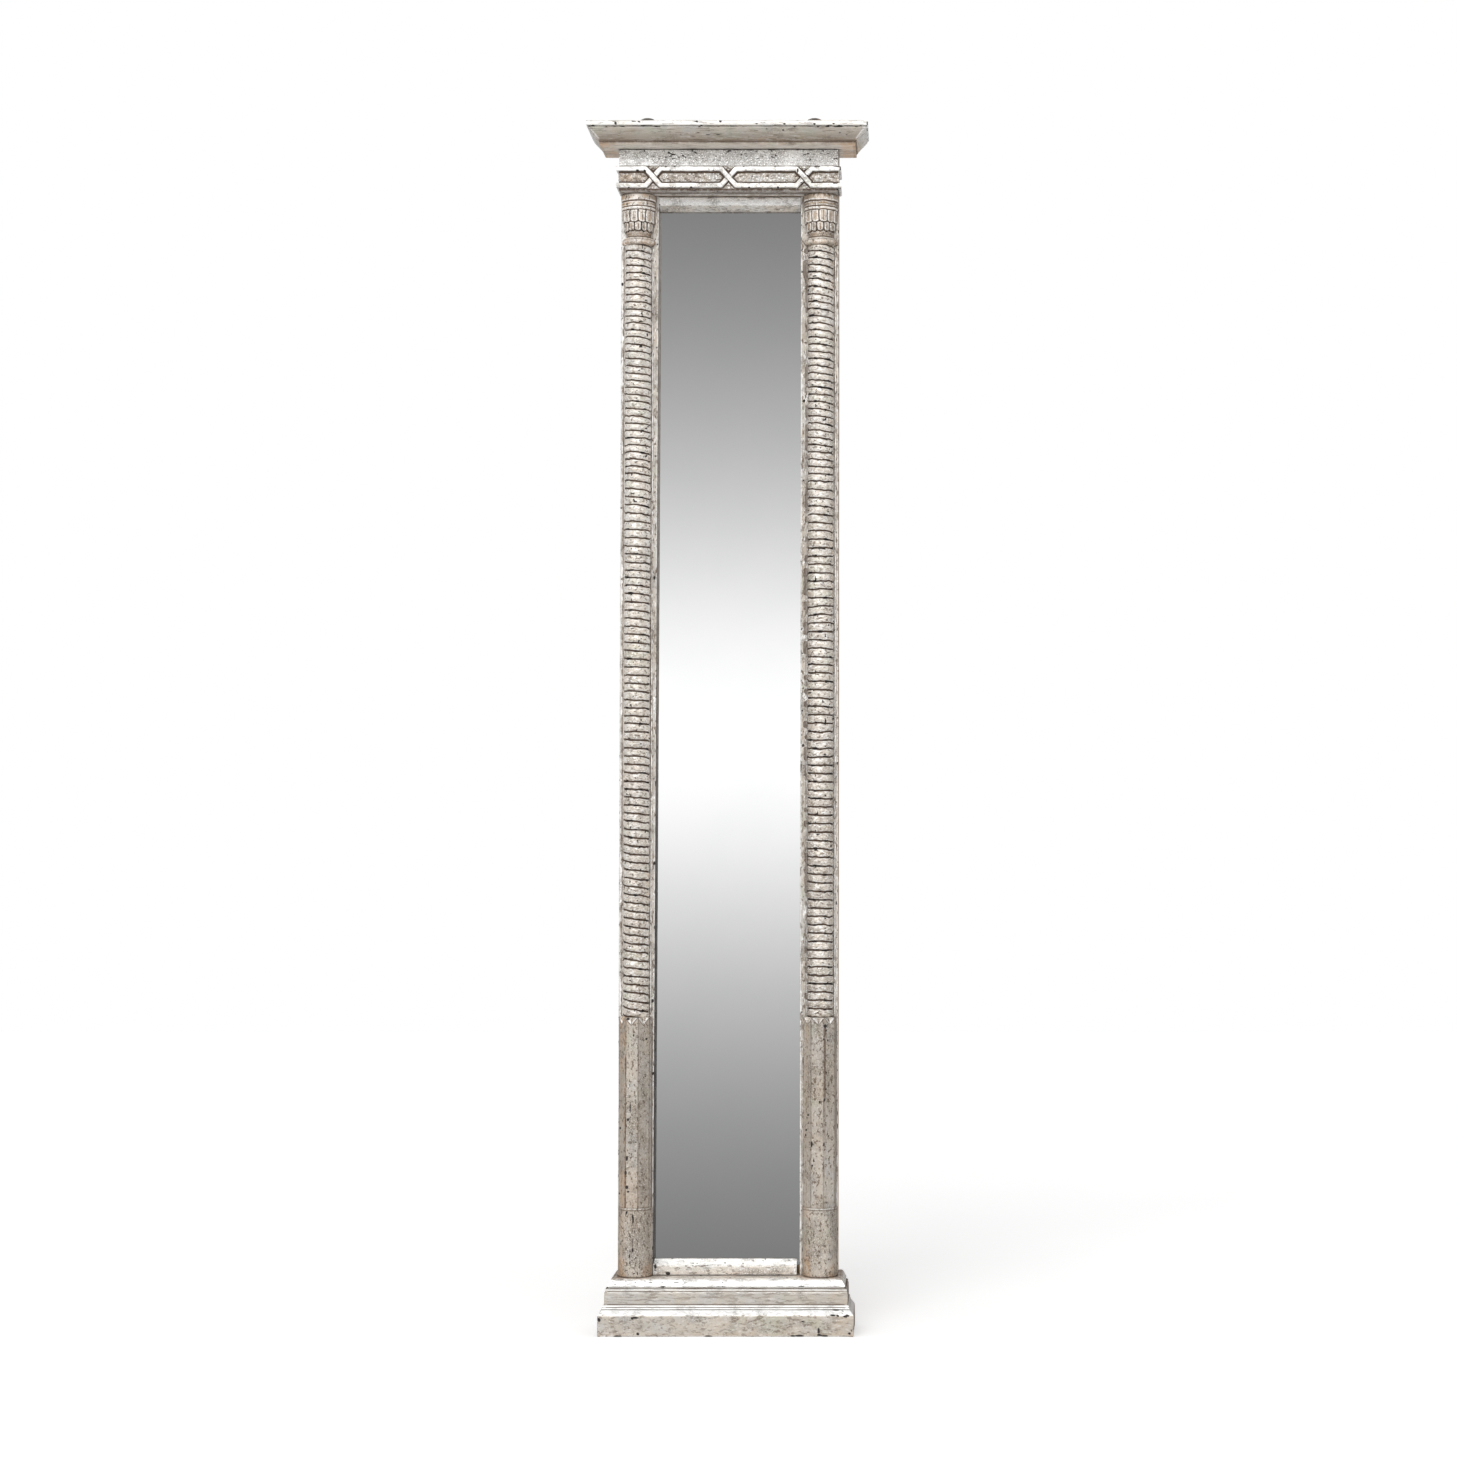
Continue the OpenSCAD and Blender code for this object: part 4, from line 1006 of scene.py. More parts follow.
def stile_stain_and_shade(V):
    # painted shade: inner darkens the reveal beside the glass
    inner = smooth(0.55, 0.2, np.abs(V[:, 0]) - sight(V[:, 0], V[:, 2])) * smooth(FACE - 0.2, FACE - 1.2, YB - V[:, 1])
    # dark on the stile beside the columns: contact shade and dirt
    d = np.abs(np.abs(V[:, 0]) - COLX) - column_edge(V[:, 2])
    near = smooth(1.5, 0.3, d + 0.5 * noise(V, (9, 9, 5), 141)) * np.where(V[:, 0] < -COLX, 0.12, 0.60) * (YB - V[:, 1] > FACE - 1.2)
    foot = smooth(3.5, 0.5, V[:, 2] - ZCOL) * 0.7
    # the painted shade in the reveal is fainter beside the upper part of the glass, nearly black lower down
    inner = inner * np.interp(V[:, 2], [ZCOL, 500, 700, 1360], [1.0, 0.97, 0.82, 0.62])
    edge = smooth(0.55, 0.2, np.abs(V[:, 0] + 130.9 + 0.3 * noise(V, (9, 9, 12), 145))) * (0.30 + 0.15 * smooth(1180, 1050, V[:, 2])) * (YB - V[:, 1] > FACE - 1.2)
    return np.clip(np.maximum(np.maximum(np.maximum(inner, near), foot), edge), 0, 1)


def stile_chip_and_shade(V):
    c = smooth(0.78, 0.84, noise(V, (2.2, 2.2, 3.0), 143)) * 0.8
    for x, z in ((-90.3, 307.5), (-91.0, 394.7), (-130.4, 1262.2), (-89.5, 560.0), (-90.5, 905.0), (89.8, 702.0), (129.4, 512.0), (90.4, 1120.0)):
        c = np.maximum(c, 1.3 * np.exp(-((V[:, 0] - x) / 1.5) ** 2 - ((V[:, 2] - z) / 1.8) ** 2))
    c = c * (YB - V[:, 1] > FACE - 1.5)
    # painted shade: lip blackens the reveal of the left stile beside the glass, most at the foot
    lip = smooth(0.5, 0.2, np.abs(V[:, 0]) - sight(V[:, 0], V[:, 2])) * smooth(FACE - 0.6, FACE - 1.4, YB - V[:, 1]) * (V[:, 0] < 0)
    return np.maximum(c, lip * np.interp(V[:, 2], [ZCOL, 420, 700, 1000], [0.9, 0.7, 0.35, 0.0]))


def face_board(x0, x1):
    """Upright board with a close mesh across its front, so that stains and marks show on it."""
    xs = np.linspace(x0 + 1.0, x1 - 1.0, 46)
    front = [(x, FACE) for x in xs]
    side = lambda x, s: [(x + s * 0.7, FACE - 0.3)] + [(x + s * 1.0, FACE - e) for e in (1.0, 1.6, 2.4, 3.4, 5.0, 7.0, 10.0, 13.0, 16.5)] + [(x + s * 1.0, BACK + 0.02)]
    ring = np.array(front + side(x1 - 1.0, 1) + side(x0 + 1.0, -1)[::-1])
    zs = np.unique(np.concatenate([[ZCOL, ZCOL + 0.8], np.linspace(ZCOL + 2, ZFRZ - 2, 620), [ZFRZ - 0.8, ZFRZ - 0.05]]))
    if x0 > 0:
        return loft([np.stack([ring[:, 0], YB - ring[:, 1], np.full(len(ring), z)], 1) for z in zs])
    u = (ring[:, 0] - x0) / (x1 - x0)
    return loft([np.stack([x0 + u * (-sight(-1.0, z) - x0), YB - ring[:, 1], np.full(len(ring), z)], 1) for z in zs])


for side, tag in ((-1, "left"), (1, "right")):
    x0, x1 = sorted((side * OW, side * HW))
    # painted shade: tone_fn darkens the sides of each board, the reveal beside the glass among them
    flat("face_board_" + tag, face_board(x0, x1), LEAF_STILE, ("face_stile_" + tag,), 101 + side, tone=-0.14 if side < 0 else -0.28, crack=0.15,
         patina_fn=lambda V: 0.35 * smooth(ZCOL + 50, ZCOL, V[:, 2]) + 0.6 * smooth(FACE - 1.5, FACE - 3.0, YB - V[:, 1])
         + 0.30 * smooth(-124, -128, V[:, 0]) + 0.15 * smooth(124, 128, V[:, 0]),
         tone_fn=lambda V: -0.30 * smooth(FACE - 1.5, FACE - 3.0, YB - V[:, 1]) + 0.80 * smooth(-124, -126.5, V[:, 0])
         - 0.12 * smooth(-98, -93, V[:, 0]) * (V[:, 0] < 0), wear=0.7, dents=0.8,
         stain_and_shade_fn=stile_stain_and_shade, chip_fn=stile_chip_and_shade)


def filler_bead(side, edge, tag, z0, z1, wide, amp, seed):
    """Gesso pressed out along one edge of a shaft: a wavy bead with a dark line round it."""
    zs = np.arange(z0, z1, 1.3)
    P = np.stack([np.full_like(zs, side * 100.0 + edge * 7), np.zeros_like(zs), zs], -1)
    w = wide + amp * (0.6 * noise(P, (50, 50, 9), seed) + 0.4 * noise(P, (50, 50, 4), seed + 1)) + amp * 0.6
    if amp > 1.5:
        # broad scallops half way up and under the capital, little between
        env = np.interp(zs, [380, 560, 640, 900, 980, 1262, 1276, 1300], [0.2, 0.3, 0.8, 0.8, 0.25, 0.2, 1.1, 1.1])
        w = 0.4 + env * 3.4 * smooth(-0.25, 0.45, noise(P, (50, 50, 8), seed))
    w = np.maximum(w, 0.35) * smooth(z0, z0 + 3, zs) * smooth(z1, z1 - 3, zs) + 0.15
    hgt = np.minimum(0.9, 0.35 + 0.25 * w)
    r = column_edge(zs) - 1.2
    prof = [(0.0, 0.40), (0.30, 1.0), (0.75, 0.85), (0.95, 0.35), (1.0, 0.10)]
    x = side * COLX + edge * (r[:, None] + 1.9 + w[:, None] * np.array([q[0] for q in prof])[None, :])
    x = np.concatenate([side * COLX + edge * r[:, None], x, (side * COLX + edge * (r + 1.9 + w + 1.0))[:, None]], 1)
    h = np.concatenate([0.6 * hgt[:, None], hgt[:, None] * np.array([q[1] for q in prof])[None, :], np.full((len(zs), 1), 0.03)], 1)
    x = np.concatenate([x, x[:, -1:], x[:, :1]], 1)
    h = np.concatenate([h, np.full((len(zs), 2), -0.3)], 1)
    x = np.clip(x, -HW + 0.1, HW - 0.1)
    rings = np.stack([x, YB - FACE - h, np.repeat(zs[:, None], x.shape[1], 1)], -1)
    n = x.shape[1]
    tone = np.tile(np.array([-0.2, -0.1, 0.40, 0.40, 0.1, -0.2, -0.2, -0.2, 0.0])[:n], len(zs))
    ink = np.where(amp > 1.5, 0.35 + 0.65 * smooth(0.6, 1.6, w), 0.35 if side > 0 or edge > 0 else 0.12)[:, None]
    stain = (np.array([0.9, 0.85, 0.0, 0.0, 0.25, 1.0, 0.85, 0.9, 0.9])[None, :n] * ink).ravel()
    V, F = loft(rings)
    return V, F, tone, stain


for side, tag in ((-1, "left"), (1, "right")):
    pc = Piece("gesso_bead_" + tag)
    for edge in (-1, 1):
        strong = (side > 0 and edge < 0)
        V, F, tone, stain = filler_bead(side, edge, tag, ZROPE0 + 1, ZROPE1 - 1, 0.8 if not strong else 1.9, 0.9 if not strong else 2.2, 151 + 7 * side + edge)
        pc.add(V, F, tone=tone + (0.15 if strong else 0.05), stain=stain, crack=0.1, patina=0.0 if strong else 0.4)
    build(pc, "frame", LEAF_STILE, (), 0.0, 0.0, 60, 155 + side, (1.5, 0.25))

# strips at the head and the foot of the glass
def strip_geo(x0, x1, pts, step=1.1):
    prof = resample(pts, step, 1)
    rings = [np.stack([np.full(len(prof), x), YB - prof[:, 0], prof[:, 1]], 1) for x in stations(x0, x1, 2.4)]
    return loft(rings)


lintel = [(BACK + 0.05, ZFRZ - 15.9, 4), (BACK + 2, ZFRZ - 15.9), (FACE - 1.0, ZFRZ - 11.6), (FACE - 0.1, ZFRZ - 10.4), (FACE, ZFRZ - 9.0),
          (FACE, ZFRZ - 0.05, 5), (BACK + 0.05, ZFRZ - 0.05, 5)]
# painted light and shade: painted shadow under the frieze at the top, a painted highlight along the arris of the face,
# painted shade on the lower bevel, and a dark line where it meets the glass
flat("lintel", strip_geo(-OW + 0.15, OW - 0.5, lintel), LEAF_LINTEL, ("lintel_strip",), 111, tone=0.76, crack=0.32,
     patina_fn=lambda V: 0.55 * smooth(ZFRZ - 6, ZFRZ - 2, V[:, 2]), wear=0.5,
     tone_fn=lambda V: -0.68 * smooth(ZFRZ - 10.0, ZFRZ - 11.5, V[:, 2]) - 0.30 * smooth(ZFRZ - 4.5, ZFRZ - 1.5, V[:, 2])
     + 0.50 * np.exp(-((V[:, 2] - ZFRZ + 8.4) / 1.7) ** 2),
     stain_and_shade_fn=lambda V: 0.85 * smooth(ZFRZ - 1.8, ZFRZ - 0.6, V[:, 2]) + 0.8 * smooth(ZFRZ - 15.2, ZFRZ - 15.7, V[:, 2]))
sill = [(BACK + 0.05, ZCOL + 0.05, 5), (FACE, ZCOL + 0.05), (FACE, ZCOL + 11.6), (FACE - 0.5, ZCOL + 12.4), (BACK + 2, ZCOL + 17.8), (BACK + 0.05, ZCOL + 17.9, 5)]
# painted light: tone_fn makes the upward bevel lighter
flat("sill", strip_geo(-OW - 3.2, OW - 3.5, sill), LEAF_X, ("sill_strip",), 113, tone=0.22, crack=0.35,
     patina_fn=lambda V: 0.55 * smooth(ZCOL + 9, ZCOL + 1, V[:, 2]), wear=0.7, chip_rate=0.6,
     tone_fn=lambda V: 0.5 * smooth(ZCOL + 12.0, ZCOL + 13.0, V[:, 2]),
     stain_and_shade_fn=lambda V: 0.85 * smooth(ZCOL + 17.4, ZCOL + 17.85, V[:, 2]) + 0.7 * smooth(ZCOL + 1.6, ZCOL + 0.4, V[:, 2]),
     chip_fn=lambda V: np.maximum(smooth(0.76, 0.82, noise(V, (3, 3, 2), 117)) * 0.8, 1.2 * np.exp(-((V[:, 0] + 71.5) / 2.6) ** 2 - ((V[:, 2] - ZCOL - 2.5) / 2.0) ** 2)
                                  + 1.2 * np.exp(-((V[:, 0] + 86.4) / 1.5) ** 2 - ((V[:, 2] - ZCOL - 10.5) / 3.4) ** 2)))

# frieze box


def frieze_crack(V):
    return 0.40 + 0.55 * smooth(1398, 1406, V[:, 2])


def frieze_piece(name, geo, replaces, seed, extra=0.0):
    V, F = geo
    lay = flat_layers(V, seed, lambda V: 0.35 * smooth(ZFRZ + 3, ZFRZ, V[:, 2]), 0.0, 0.0)
    z = V[:, 2]
    lay["crack"] = np.clip(0.7 * frieze_crack(V) + 0.3 * noise(V, (26, 26, 9), seed + 3), 0, 1)
    # painted shade: grey-brown close under the cornice, whiter towards the straps, and dark on the bottom edge
    lay["tone"] = lay["tone"] + extra + 0.76 + 0.30 * smooth(1417, 1404, z) - 2.0 * smooth(ZFRZ + 0.5, ZFRZ + 0.15, z)
    lay["patina"] = np.clip(lay["patina"] + 0.45 * smooth(ZFRZ + 0.6, ZFRZ + 0.2, z), 0, 1)
    strap = (np.abs(z - SZ1) < SW / 2 + 1.0) | (np.abs(z - SZ0) < SW / 2 + 1.0)
    # dark just above the upper strap; painted shadow under the lower strap and under the cornice; painted shade on the
    # bottom edge
    lay["stain"] = np.clip(0.9 * smooth(SZ1 + SW / 2 + 1.7, SZ1 + SW / 2 + 0.5, z) * (z > SZ1) + 1.0 * smooth(SZ0 - SW / 2 - 3.8, SZ0 - SW / 2 - 3.1, z) * (z < SZ0)
                           + 0.85 * smooth(ZCOR - 1.4, ZCOR - 0.5, z) + 0.5 * smooth(ZFRZ + 1.2, ZFRZ + 0.3, z), 0, 1)
    lay["chip"] = smooth(0.52, 0.66, noise(V, (2.6, 2.6, 1.6), seed + 5)) * 0.85 * smooth(1402, 1412, z)
    return build(Piece(name).add(V, F, **lay), "frame", LEAF_FRIEZE, replaces, 0.5, 0.6, 40, seed, (2.0, 0.28))


SW, ST = 5.9, 3.6
SZ1, SZ0 = ZFRZ + 30.4 - SW / 2, ZFRZ + 10.2 - SW / 2
frieze = resample([(-20, ZFRZ + 0.05, 5), (0, ZFRZ + 0.05, 0.9), (0, ZCOR - 0.1, 5), (-20, ZCOR - 0.1, 6)], 0.9, 1)
frieze_piece("frieze_board", run_front(frieze, HW, FRZ, 1.6, True), ("frieze_front",), 121)
for side, tag in ((-1, "left"), (1, "right")):
    frieze_piece("frieze_return_" + tag, run_side(frieze, HW, FRZ, BACK + 0.02, 2.0, side), ("frieze_" + tag,), 123 + side, -0.25)
flat("frieze_underside", board(-HW + 20.05, HW - 20.05, BACK + 0.05, FRZ - 20.05, ZFRZ + 0.05, ZFRZ + 7.9, "x", 4.0, 0.5), LEAF_X,
     ("frieze_soffit",), 127, tone=-0.55, patina_fn=lambda V: 0.6 + 0 * V[:, 0], wear=0.2)

# ------------------------------------------------------------------ strapwork
SH = (SZ1 - SZ0) / 2
SDX = SH / math.tan(math.radians(48))
SM = (SZ1 + SZ0) / 2


def strap_distance(X, Z, sense):
    """Distance from the middle line of the strap that starts high (sense 1) or low (-1) at the left."""
    best = np.full(X.shape, 1e9)
    cs = [-91.0, 0.0, 91.0]
    xs, zs = [-150.0], [SM + sense * SH]
    s = sense
    for c in cs:
        xs += [c - SDX, c + SDX]
        zs += [SM + s * SH, SM - s * SH]
        s = -s
    xs.append(150.0)
    zs.append(SM + s * SH)
    for k in range(len(xs) - 1):
        ax, az, bx, bz = xs[k], zs[k], xs[k + 1], zs[k + 1]
        l2 = (bx - ax) ** 2 + (bz - az) ** 2
        t = np.clip(((X - ax) * (bx - ax) + (Z - az) * (bz - az)) / l2, 0, 1)
        best = np.minimum(best, np.hypot(X - ax - t * (bx - ax), Z - az - t * (bz - az)))
    return best


def strapwork():
    xs = np.arange(-HW, HW + 0.01, 0.5)
    zs = np.arange(SZ0 - SW / 2 - 0.8, SZ1 + SW / 2 + 0.81, 0.45)
    X, Z = np.meshgrid(xs, zs)
    P = np.stack([X, np.zeros_like(X), Z], -1)
    Xw = X + 0.25 * noise(P, 9, 201)
    Zw = Z + 0.25 * noise(P, 12, 202)
    w = SW / 2 + 0.20 + 0.18 * noise(P, 7, 203)

    def bar(d):
        e = np.clip((w - d) / 1.25, 0, 1)
        return np.sqrt(np.clip(1 - (1 - e) ** 2, 0, 1))

    dA, dB = strap_distance(Xw, Zw, 1), strap_distance(Xw, Zw, -1)
    a, b = bar(dA), bar(dB)
    near = np.zeros_like(X)
    over_a = np.ones_like(X)
    for c in (-91.0, 0.0, 91.0):
        near = np.maximum(near, smooth(8.5, 5.5, np.hypot(X - c, Z - SM)))
    # the strap running down to the right lies on top at every crossing
    down = np.zeros_like(X)
    for c, s in ((-91.0, 1), (0.0, -1), (91.0, 1)):
        m = np.abs(X - c) < 20
        down = np.where(m, s, down)
    top_is_a = down >= 0
    dtop = np.where(top_is_a, dA, dB)
    dlow = np.where(top_is_a, dB, dA)
    top, low = bar(dtop), bar(dlow)
    groove = np.exp(-((dtop - (w + 0.15)) / 0.50) ** 2) * near * np.where(np.abs(X) < 20, 0.35, 1.0)
    low = low * (1 - 0.55 * groove) - 0.12 * near * (low > 0) * (dtop > w)
    h = np.maximum(top, np.maximum(low, 0)) * ST
    # ground between the straps: a shallow pillow with a trench round it, which is painted dark as shade further on
    dmin = np.minimum(dA, dB) - w
    inside = (Z < SZ1) & (Z > SZ0)
    trench = smooth(2.6, 0.3, dmin) * (dmin > 0)
    ground = np.where(inside, 0.85 - 0.65 * trench + 0.15 * noise(P, 5, 205), 0.12)
    h = np.maximum(h, np.where(dmin > -0.2, ground, 0))
    # outside the two straps nothing stands proud
    outer = (Z > SZ1 + SW / 2 + 0.35) | (Z < SZ0 - SW / 2 - 0.35)
    h = np.where(outer, 0.10, h)
    x = X + np.sign(X) * np.clip((np.abs(X) - (HW - 4)) / 4, 0, 1) * np.where(outer, 0, np.minimum(h, ST))
    y = YB - FRZ - h
    nj, ni = X.shape
    front = np.stack([x, y, Z], -1)
    back = np.stack([X, np.full_like(X, YB - FRZ + 0.15), Z], -1)
    V = np.concatenate([front.reshape(-1, 3), back.reshape(-1, 3)])
    n = nj * ni
    F = []
    for j in range(nj - 1):
        for i in range(ni - 1):
            q = j * ni + i
            F.append((q, q + 1, q + ni + 1, q + ni))
    # the back as one strip round the edge, filled by long quads
    edge = [(0, i) for i in range(ni)] + [(j, ni - 1) for j in range(1, nj)] + \
           [(nj - 1, i) for i in range(ni - 2, -1, -1)] + [(j, 0) for j in range(nj - 2, 0, -1)]
    keep = {}
    verts_b = []
    for j, i in edge:
        keep[(j, i)] = n + len(verts_b)
        verts_b.append(back[j, i])
    V = np.concatenate([front.reshape(-1, 3), np.array(verts_b)])
    m = len(edge)
    for k in range(m):
        a1, b1 = edge[k], edge[(k + 1) % m]
        F.append((a1[0] * ni + a1[1], keep[a1], keep[b1], b1[0] * ni + b1[1]))
    # back face: bottom and top rows joined, side rows fanned into them
    for i in range(1, ni - 2):
        F.append((keep[(0, i)], keep[(nj - 1, i)], keep[(nj - 1, i + 1)], keep[(0, i + 1)]))
    left = [keep[(j, 0)] for j in range(nj)]
    right = [keep[(j, ni - 1)] for j in range(nj)]
    # end cells take the side rows
    lf = left + [keep[(nj - 1, 1)], keep[(0, 1)]]
    rf = [keep[(0, ni - 2)], keep[(nj - 1, ni - 2)]] + right[::-1]
    F.append(tuple(lf))
    F.append(tuple(rf))
    strap = (np.minimum(dA, dB) < w)
    tone = np.where(strap, 0.74 - 0.34 * (Z < SM) + 0.16 * noise(P, 22, 207) + 0.16 * noise(P, 4, 206), 0.27 + 0.16 * noise(P, 9, 208) + 0.70 * noise(P, 2.6, 204))
    tan = smooth(-60, -100, X) * 0.40 + 0.35 * smooth(-0.1, 0.4, noise(P, (30, 30, 9), 209))
    patina = np.where(strap, 0.0, np.clip(tan, 0, 0.9))
    tone = np.where(strap, tone, tone - 0.35 * np.clip(tan, 0, 1))
    # painted shade: rim darkens the edges of the straps; the stain paints shadow round the ground beside the straps,
    # wider in the upper half of each panel, shade in the trench, the shadow of the upper strap on the lower one at each
    # crossing, and dark strips just outside the two straps
    rim = smooth(-0.75, -0.15, dmin) * (0.55 + 0.35 * noise(P, (6, 6, 2), 210))
    stain = np.where(strap, rim, smooth(1.9, 1.0, dmin - 0.9 * (Z > SM)) * inside * 1.0 + 0.25 * trench * inside)
    stain = np.maximum(stain, 0.80 * near * np.exp(-((dtop - (w + 0.2)) / 0.38) ** 2) * np.where(np.abs(X) < 20, 0.25, 1.0))
    stain = np.maximum(stain, np.where(outer, 0.95, 0.0))
    chip = np.where(strap, smooth(0.80, 0.88, noise(P, (5, 5, 3), 211)) * smooth(1.6, 0.2, np.abs(np.minimum(dA, dB) - w + 0.6)), 0.0)
    chip = np.maximum(chip, 0.9 * np.exp(-((X - 83.5) / 1.2) ** 2 - ((Z - 1394.5) / 3.0) ** 2))
    crack = np.where(strap, 0.0, 0.9)

    def lay(a, fill=0.0):
        return np.concatenate([a.ravel(), np.full(m, fill)])

    p = Piece("strapwork").add(V, F, tone=lay(tone), patina=lay(patina), chip=lay(chip), crack=lay(crack), stain=lay(np.clip(stain, 0, 1)))
    return build(p, "frame", LEAF_STRAP, ("strapwork_front",), 0.20, 0.20, 60, 213, (1.2, 0.24))


strapwork()
for side, tag in ((-1, "left"), (1, "right")):
    p = Piece("strapwork_return_" + tag)
    for z in (SZ0, SZ1):
        prof = resample([(0.02, z - SW / 2, 1.2), (ST - 0.7, z - SW / 2 + 0.1), (ST, z - SW / 2 + 1.2), (ST, z + SW / 2 - 1.2),
                         (ST - 0.7, z + SW / 2 - 0.1), (0.02, z + SW / 2, 1.2)], 0.8, 1)
        V, F = run_side(prof, HW, FRZ, BACK + 0.1, 1.6, side)
        p.add(V, F, tone=0.55 + 0.2 * noise(V, 15, 221), chip=smooth(0.66, 0.78, noise(V, 5, 223)) * 0.7)
    build(p, "frame", LEAF_STRAP, ("strapwork_" + tag,), 0.3, 0.3, 60, 225 + side, (1.4, 0.28))

# ------------------------------------------------------------------ cornice
CO = 36.6
cor = [(-18, ZCOR + 0.05, 6), (0, ZCOR + 0.05, 1.2), (CO - 15.3, ZCOR + 0.05), (CO - 15.0, ZCOR + 0.5), (CO - 15.0, ZCOR + 2.8),
       (CO - 15.4, ZCOR + 3.2), (CO - 15.4, ZCOR + 3.7), (CO - 14.6, ZCOR + 4.2, 1.0), (CO - 1.6, ZTOP - 8.3), (CO - 1.5, ZTOP - 7.7, 0.5),
       (CO - 3.4, ZTOP - 7.6, 0.5), (CO - 3.4, ZTOP - 6.7, 0.5), (CO - 1.0, ZTOP - 6.5, 0.6), (CO - 0.1, ZTOP - 5.8), (CO, ZTOP - 4.6),
       (CO, ZTOP - 1.8), (CO - 0.4, ZTOP - 0.7), (CO - 1.6, ZTOP - 0.05, 2.2), (-10, ZTOP - 0.05, 4), (-10, ZTOP - 10, 4), (-18, ZTOP - 10, 6)]
cornice = resample(cor, 1.1, 1)


def cornice_layers(V, seed):
    p = YB - V[:, 1]
    o = np.where(np.abs(V[:, 0]) - HW > p - FRZ, np.abs(V[:, 0]) - HW, p - FRZ)
    top = smooth(ZTOP - 7.2, ZTOP - 6.2, V[:, 2])
    slope = smooth(ZCOR + 4, ZCOR + 5, V[:, 2]) * (1 - top)
    under = 1 - smooth(ZCOR + 0.3, ZCOR + 3.4, V[:, 2])
    z = V[:, 2]
    side = smooth(3, 12, np.abs(V[:, 0]) - HW) * (np.abs(V[:, 0]) - HW > p - FRZ)
    # painted light and shade: the top member lighter, the downward-facing slope darker and darkest low down, its foot
    # darker, the soffit lighter, the upper slope lighter
    tone = 0.44 * top - 0.27 * slope - 0.30 * slope * smooth(ZTOP - 12, ZTOP - 20, z) - 0.25 * (1 - top) * smooth(6.5, 5.0, z - ZCOR) * (o > 18) + 0.30 * under + 0.10 * fbm(V, (50, 20, 12), seed, 3) + 0.12 * smooth(ZTOP - 14, ZTOP - 9, z) * slope
    ends = smooth(0.0, 8.0, np.abs(V[:, 0]) - HW) * smooth(5.0, 3.5, z - ZCOR)
    side = side * smooth(3.8, 5.5, z - ZCOR)
    # painted light on the returns
    tone = tone + 0.72 * side - 0.18 * ends
    pat = 0.30 * under + 0.45 * smooth(ZCOR + 10, ZCOR + 4, z) * slope + 0.3 * smooth(0.2, 0.6, fbm(V, 26, seed + 2)) + 0.6 * ends
    pat = pat + 0.5 * smooth(0.25, 0.5, noise(V, (16, 16, 3), seed + 6)) * smooth(ZTOP - 2.5, ZTOP - 0.5, z)
    foot = smooth(5.6, 4.4, z - ZCOR) * smooth(2.2, 3.0, z - ZCOR) * (0.66 + 0.2 * noise(V, (22, 22, 5), seed + 10)) \
        + 0.50 * smooth(3.0, 2.2, z - ZCOR) * smooth(0.2, 0.7, z - ZCOR)
    # painted shade in the upper and lower quirks and in the corner where the soffit meets the frieze; the foot band
    # darkens the bottom of the slope and the fascia
    stain = 0.85 * smooth(0.9, 0.3, np.abs(z - (ZTOP - 7.3) - 0.25 * noise(V, 9, seed + 7))) * (0.55 + 0.45 * noise(V, (11, 11, 4), seed + 8))
    stain = stain + 0.6 * smooth(0.8, 0.2, np.abs(z - (ZCOR + 3.6))) + 0.6 * smooth(ZCOR + 0.6, ZCOR + 0.1, z) * smooth(2.5, 0.4, o)
    stain = stain + foot
    more = 0.28 * smooth(40, 80, V[:, 0])
    nick = smooth(0.55 - more, 0.66 - more, noise(V, (5, 5, 1.6), seed + 3)) * smooth(1.6, 0.6, np.abs(z - (ZTOP - 7.3)))
    mitre = np.abs(np.abs(V[:, 0]) - HW - (p - FRZ))
    nick = np.maximum(nick, smooth(0.15, 0.40, noise(V, (4, 4, 4), seed + 11)) * smooth(2.6, 1.2, mitre) * smooth(ZTOP - 15, ZTOP - 11, z) * (V[:, 0] > 0) * 0.9)
    nick = np.maximum(nick, smooth(0.74, 0.80, noise(V, (4, 4, 3), seed + 4)) * top * 0.9)
    nick = np.maximum(nick, smooth(0.82, 0.88, noise(V, (2.4, 2.4, 2), seed + 9)) * slope * 0.8)
    gain = smooth(5.0, 8.0, z - ZCOR) * (1 - 0.85 * smooth(4.0, 1.5, np.abs(np.abs(V[:, 0]) - HW - (p - FRZ))) * (1 - top))
    return dict(tone=tone, patina=np.clip(pat, 0, 1), chip=nick, crack=0.15 * slope, stain=np.clip(stain, 0, 1), gain=gain)


V, F = run_front(cornice, HW, FRZ, 2.0, True)
build(Piece("cornice_moulding").add(V, F, **cornice_layers(V, 301)), "frame", LEAF_SLOPE, ("cornice_front",),
      0.8, 0.9, 42, 303, (2.2, 0.42), chip_rate=0.8)
for side, tag in ((-1, "left"), (1, "right")):
    V, F = run_side(cornice, HW, FRZ, BACK + 0.02, 2.0, side)
    build(Piece("cornice_return_" + tag).add(V, F, **cornice_layers(V, 305 + side)), "frame", LEAF_SLOPE,
          ("cornice_" + tag,), 0.8, 0.9, 42, 307 + side, (2.2, 0.42), chip_rate=0.8)

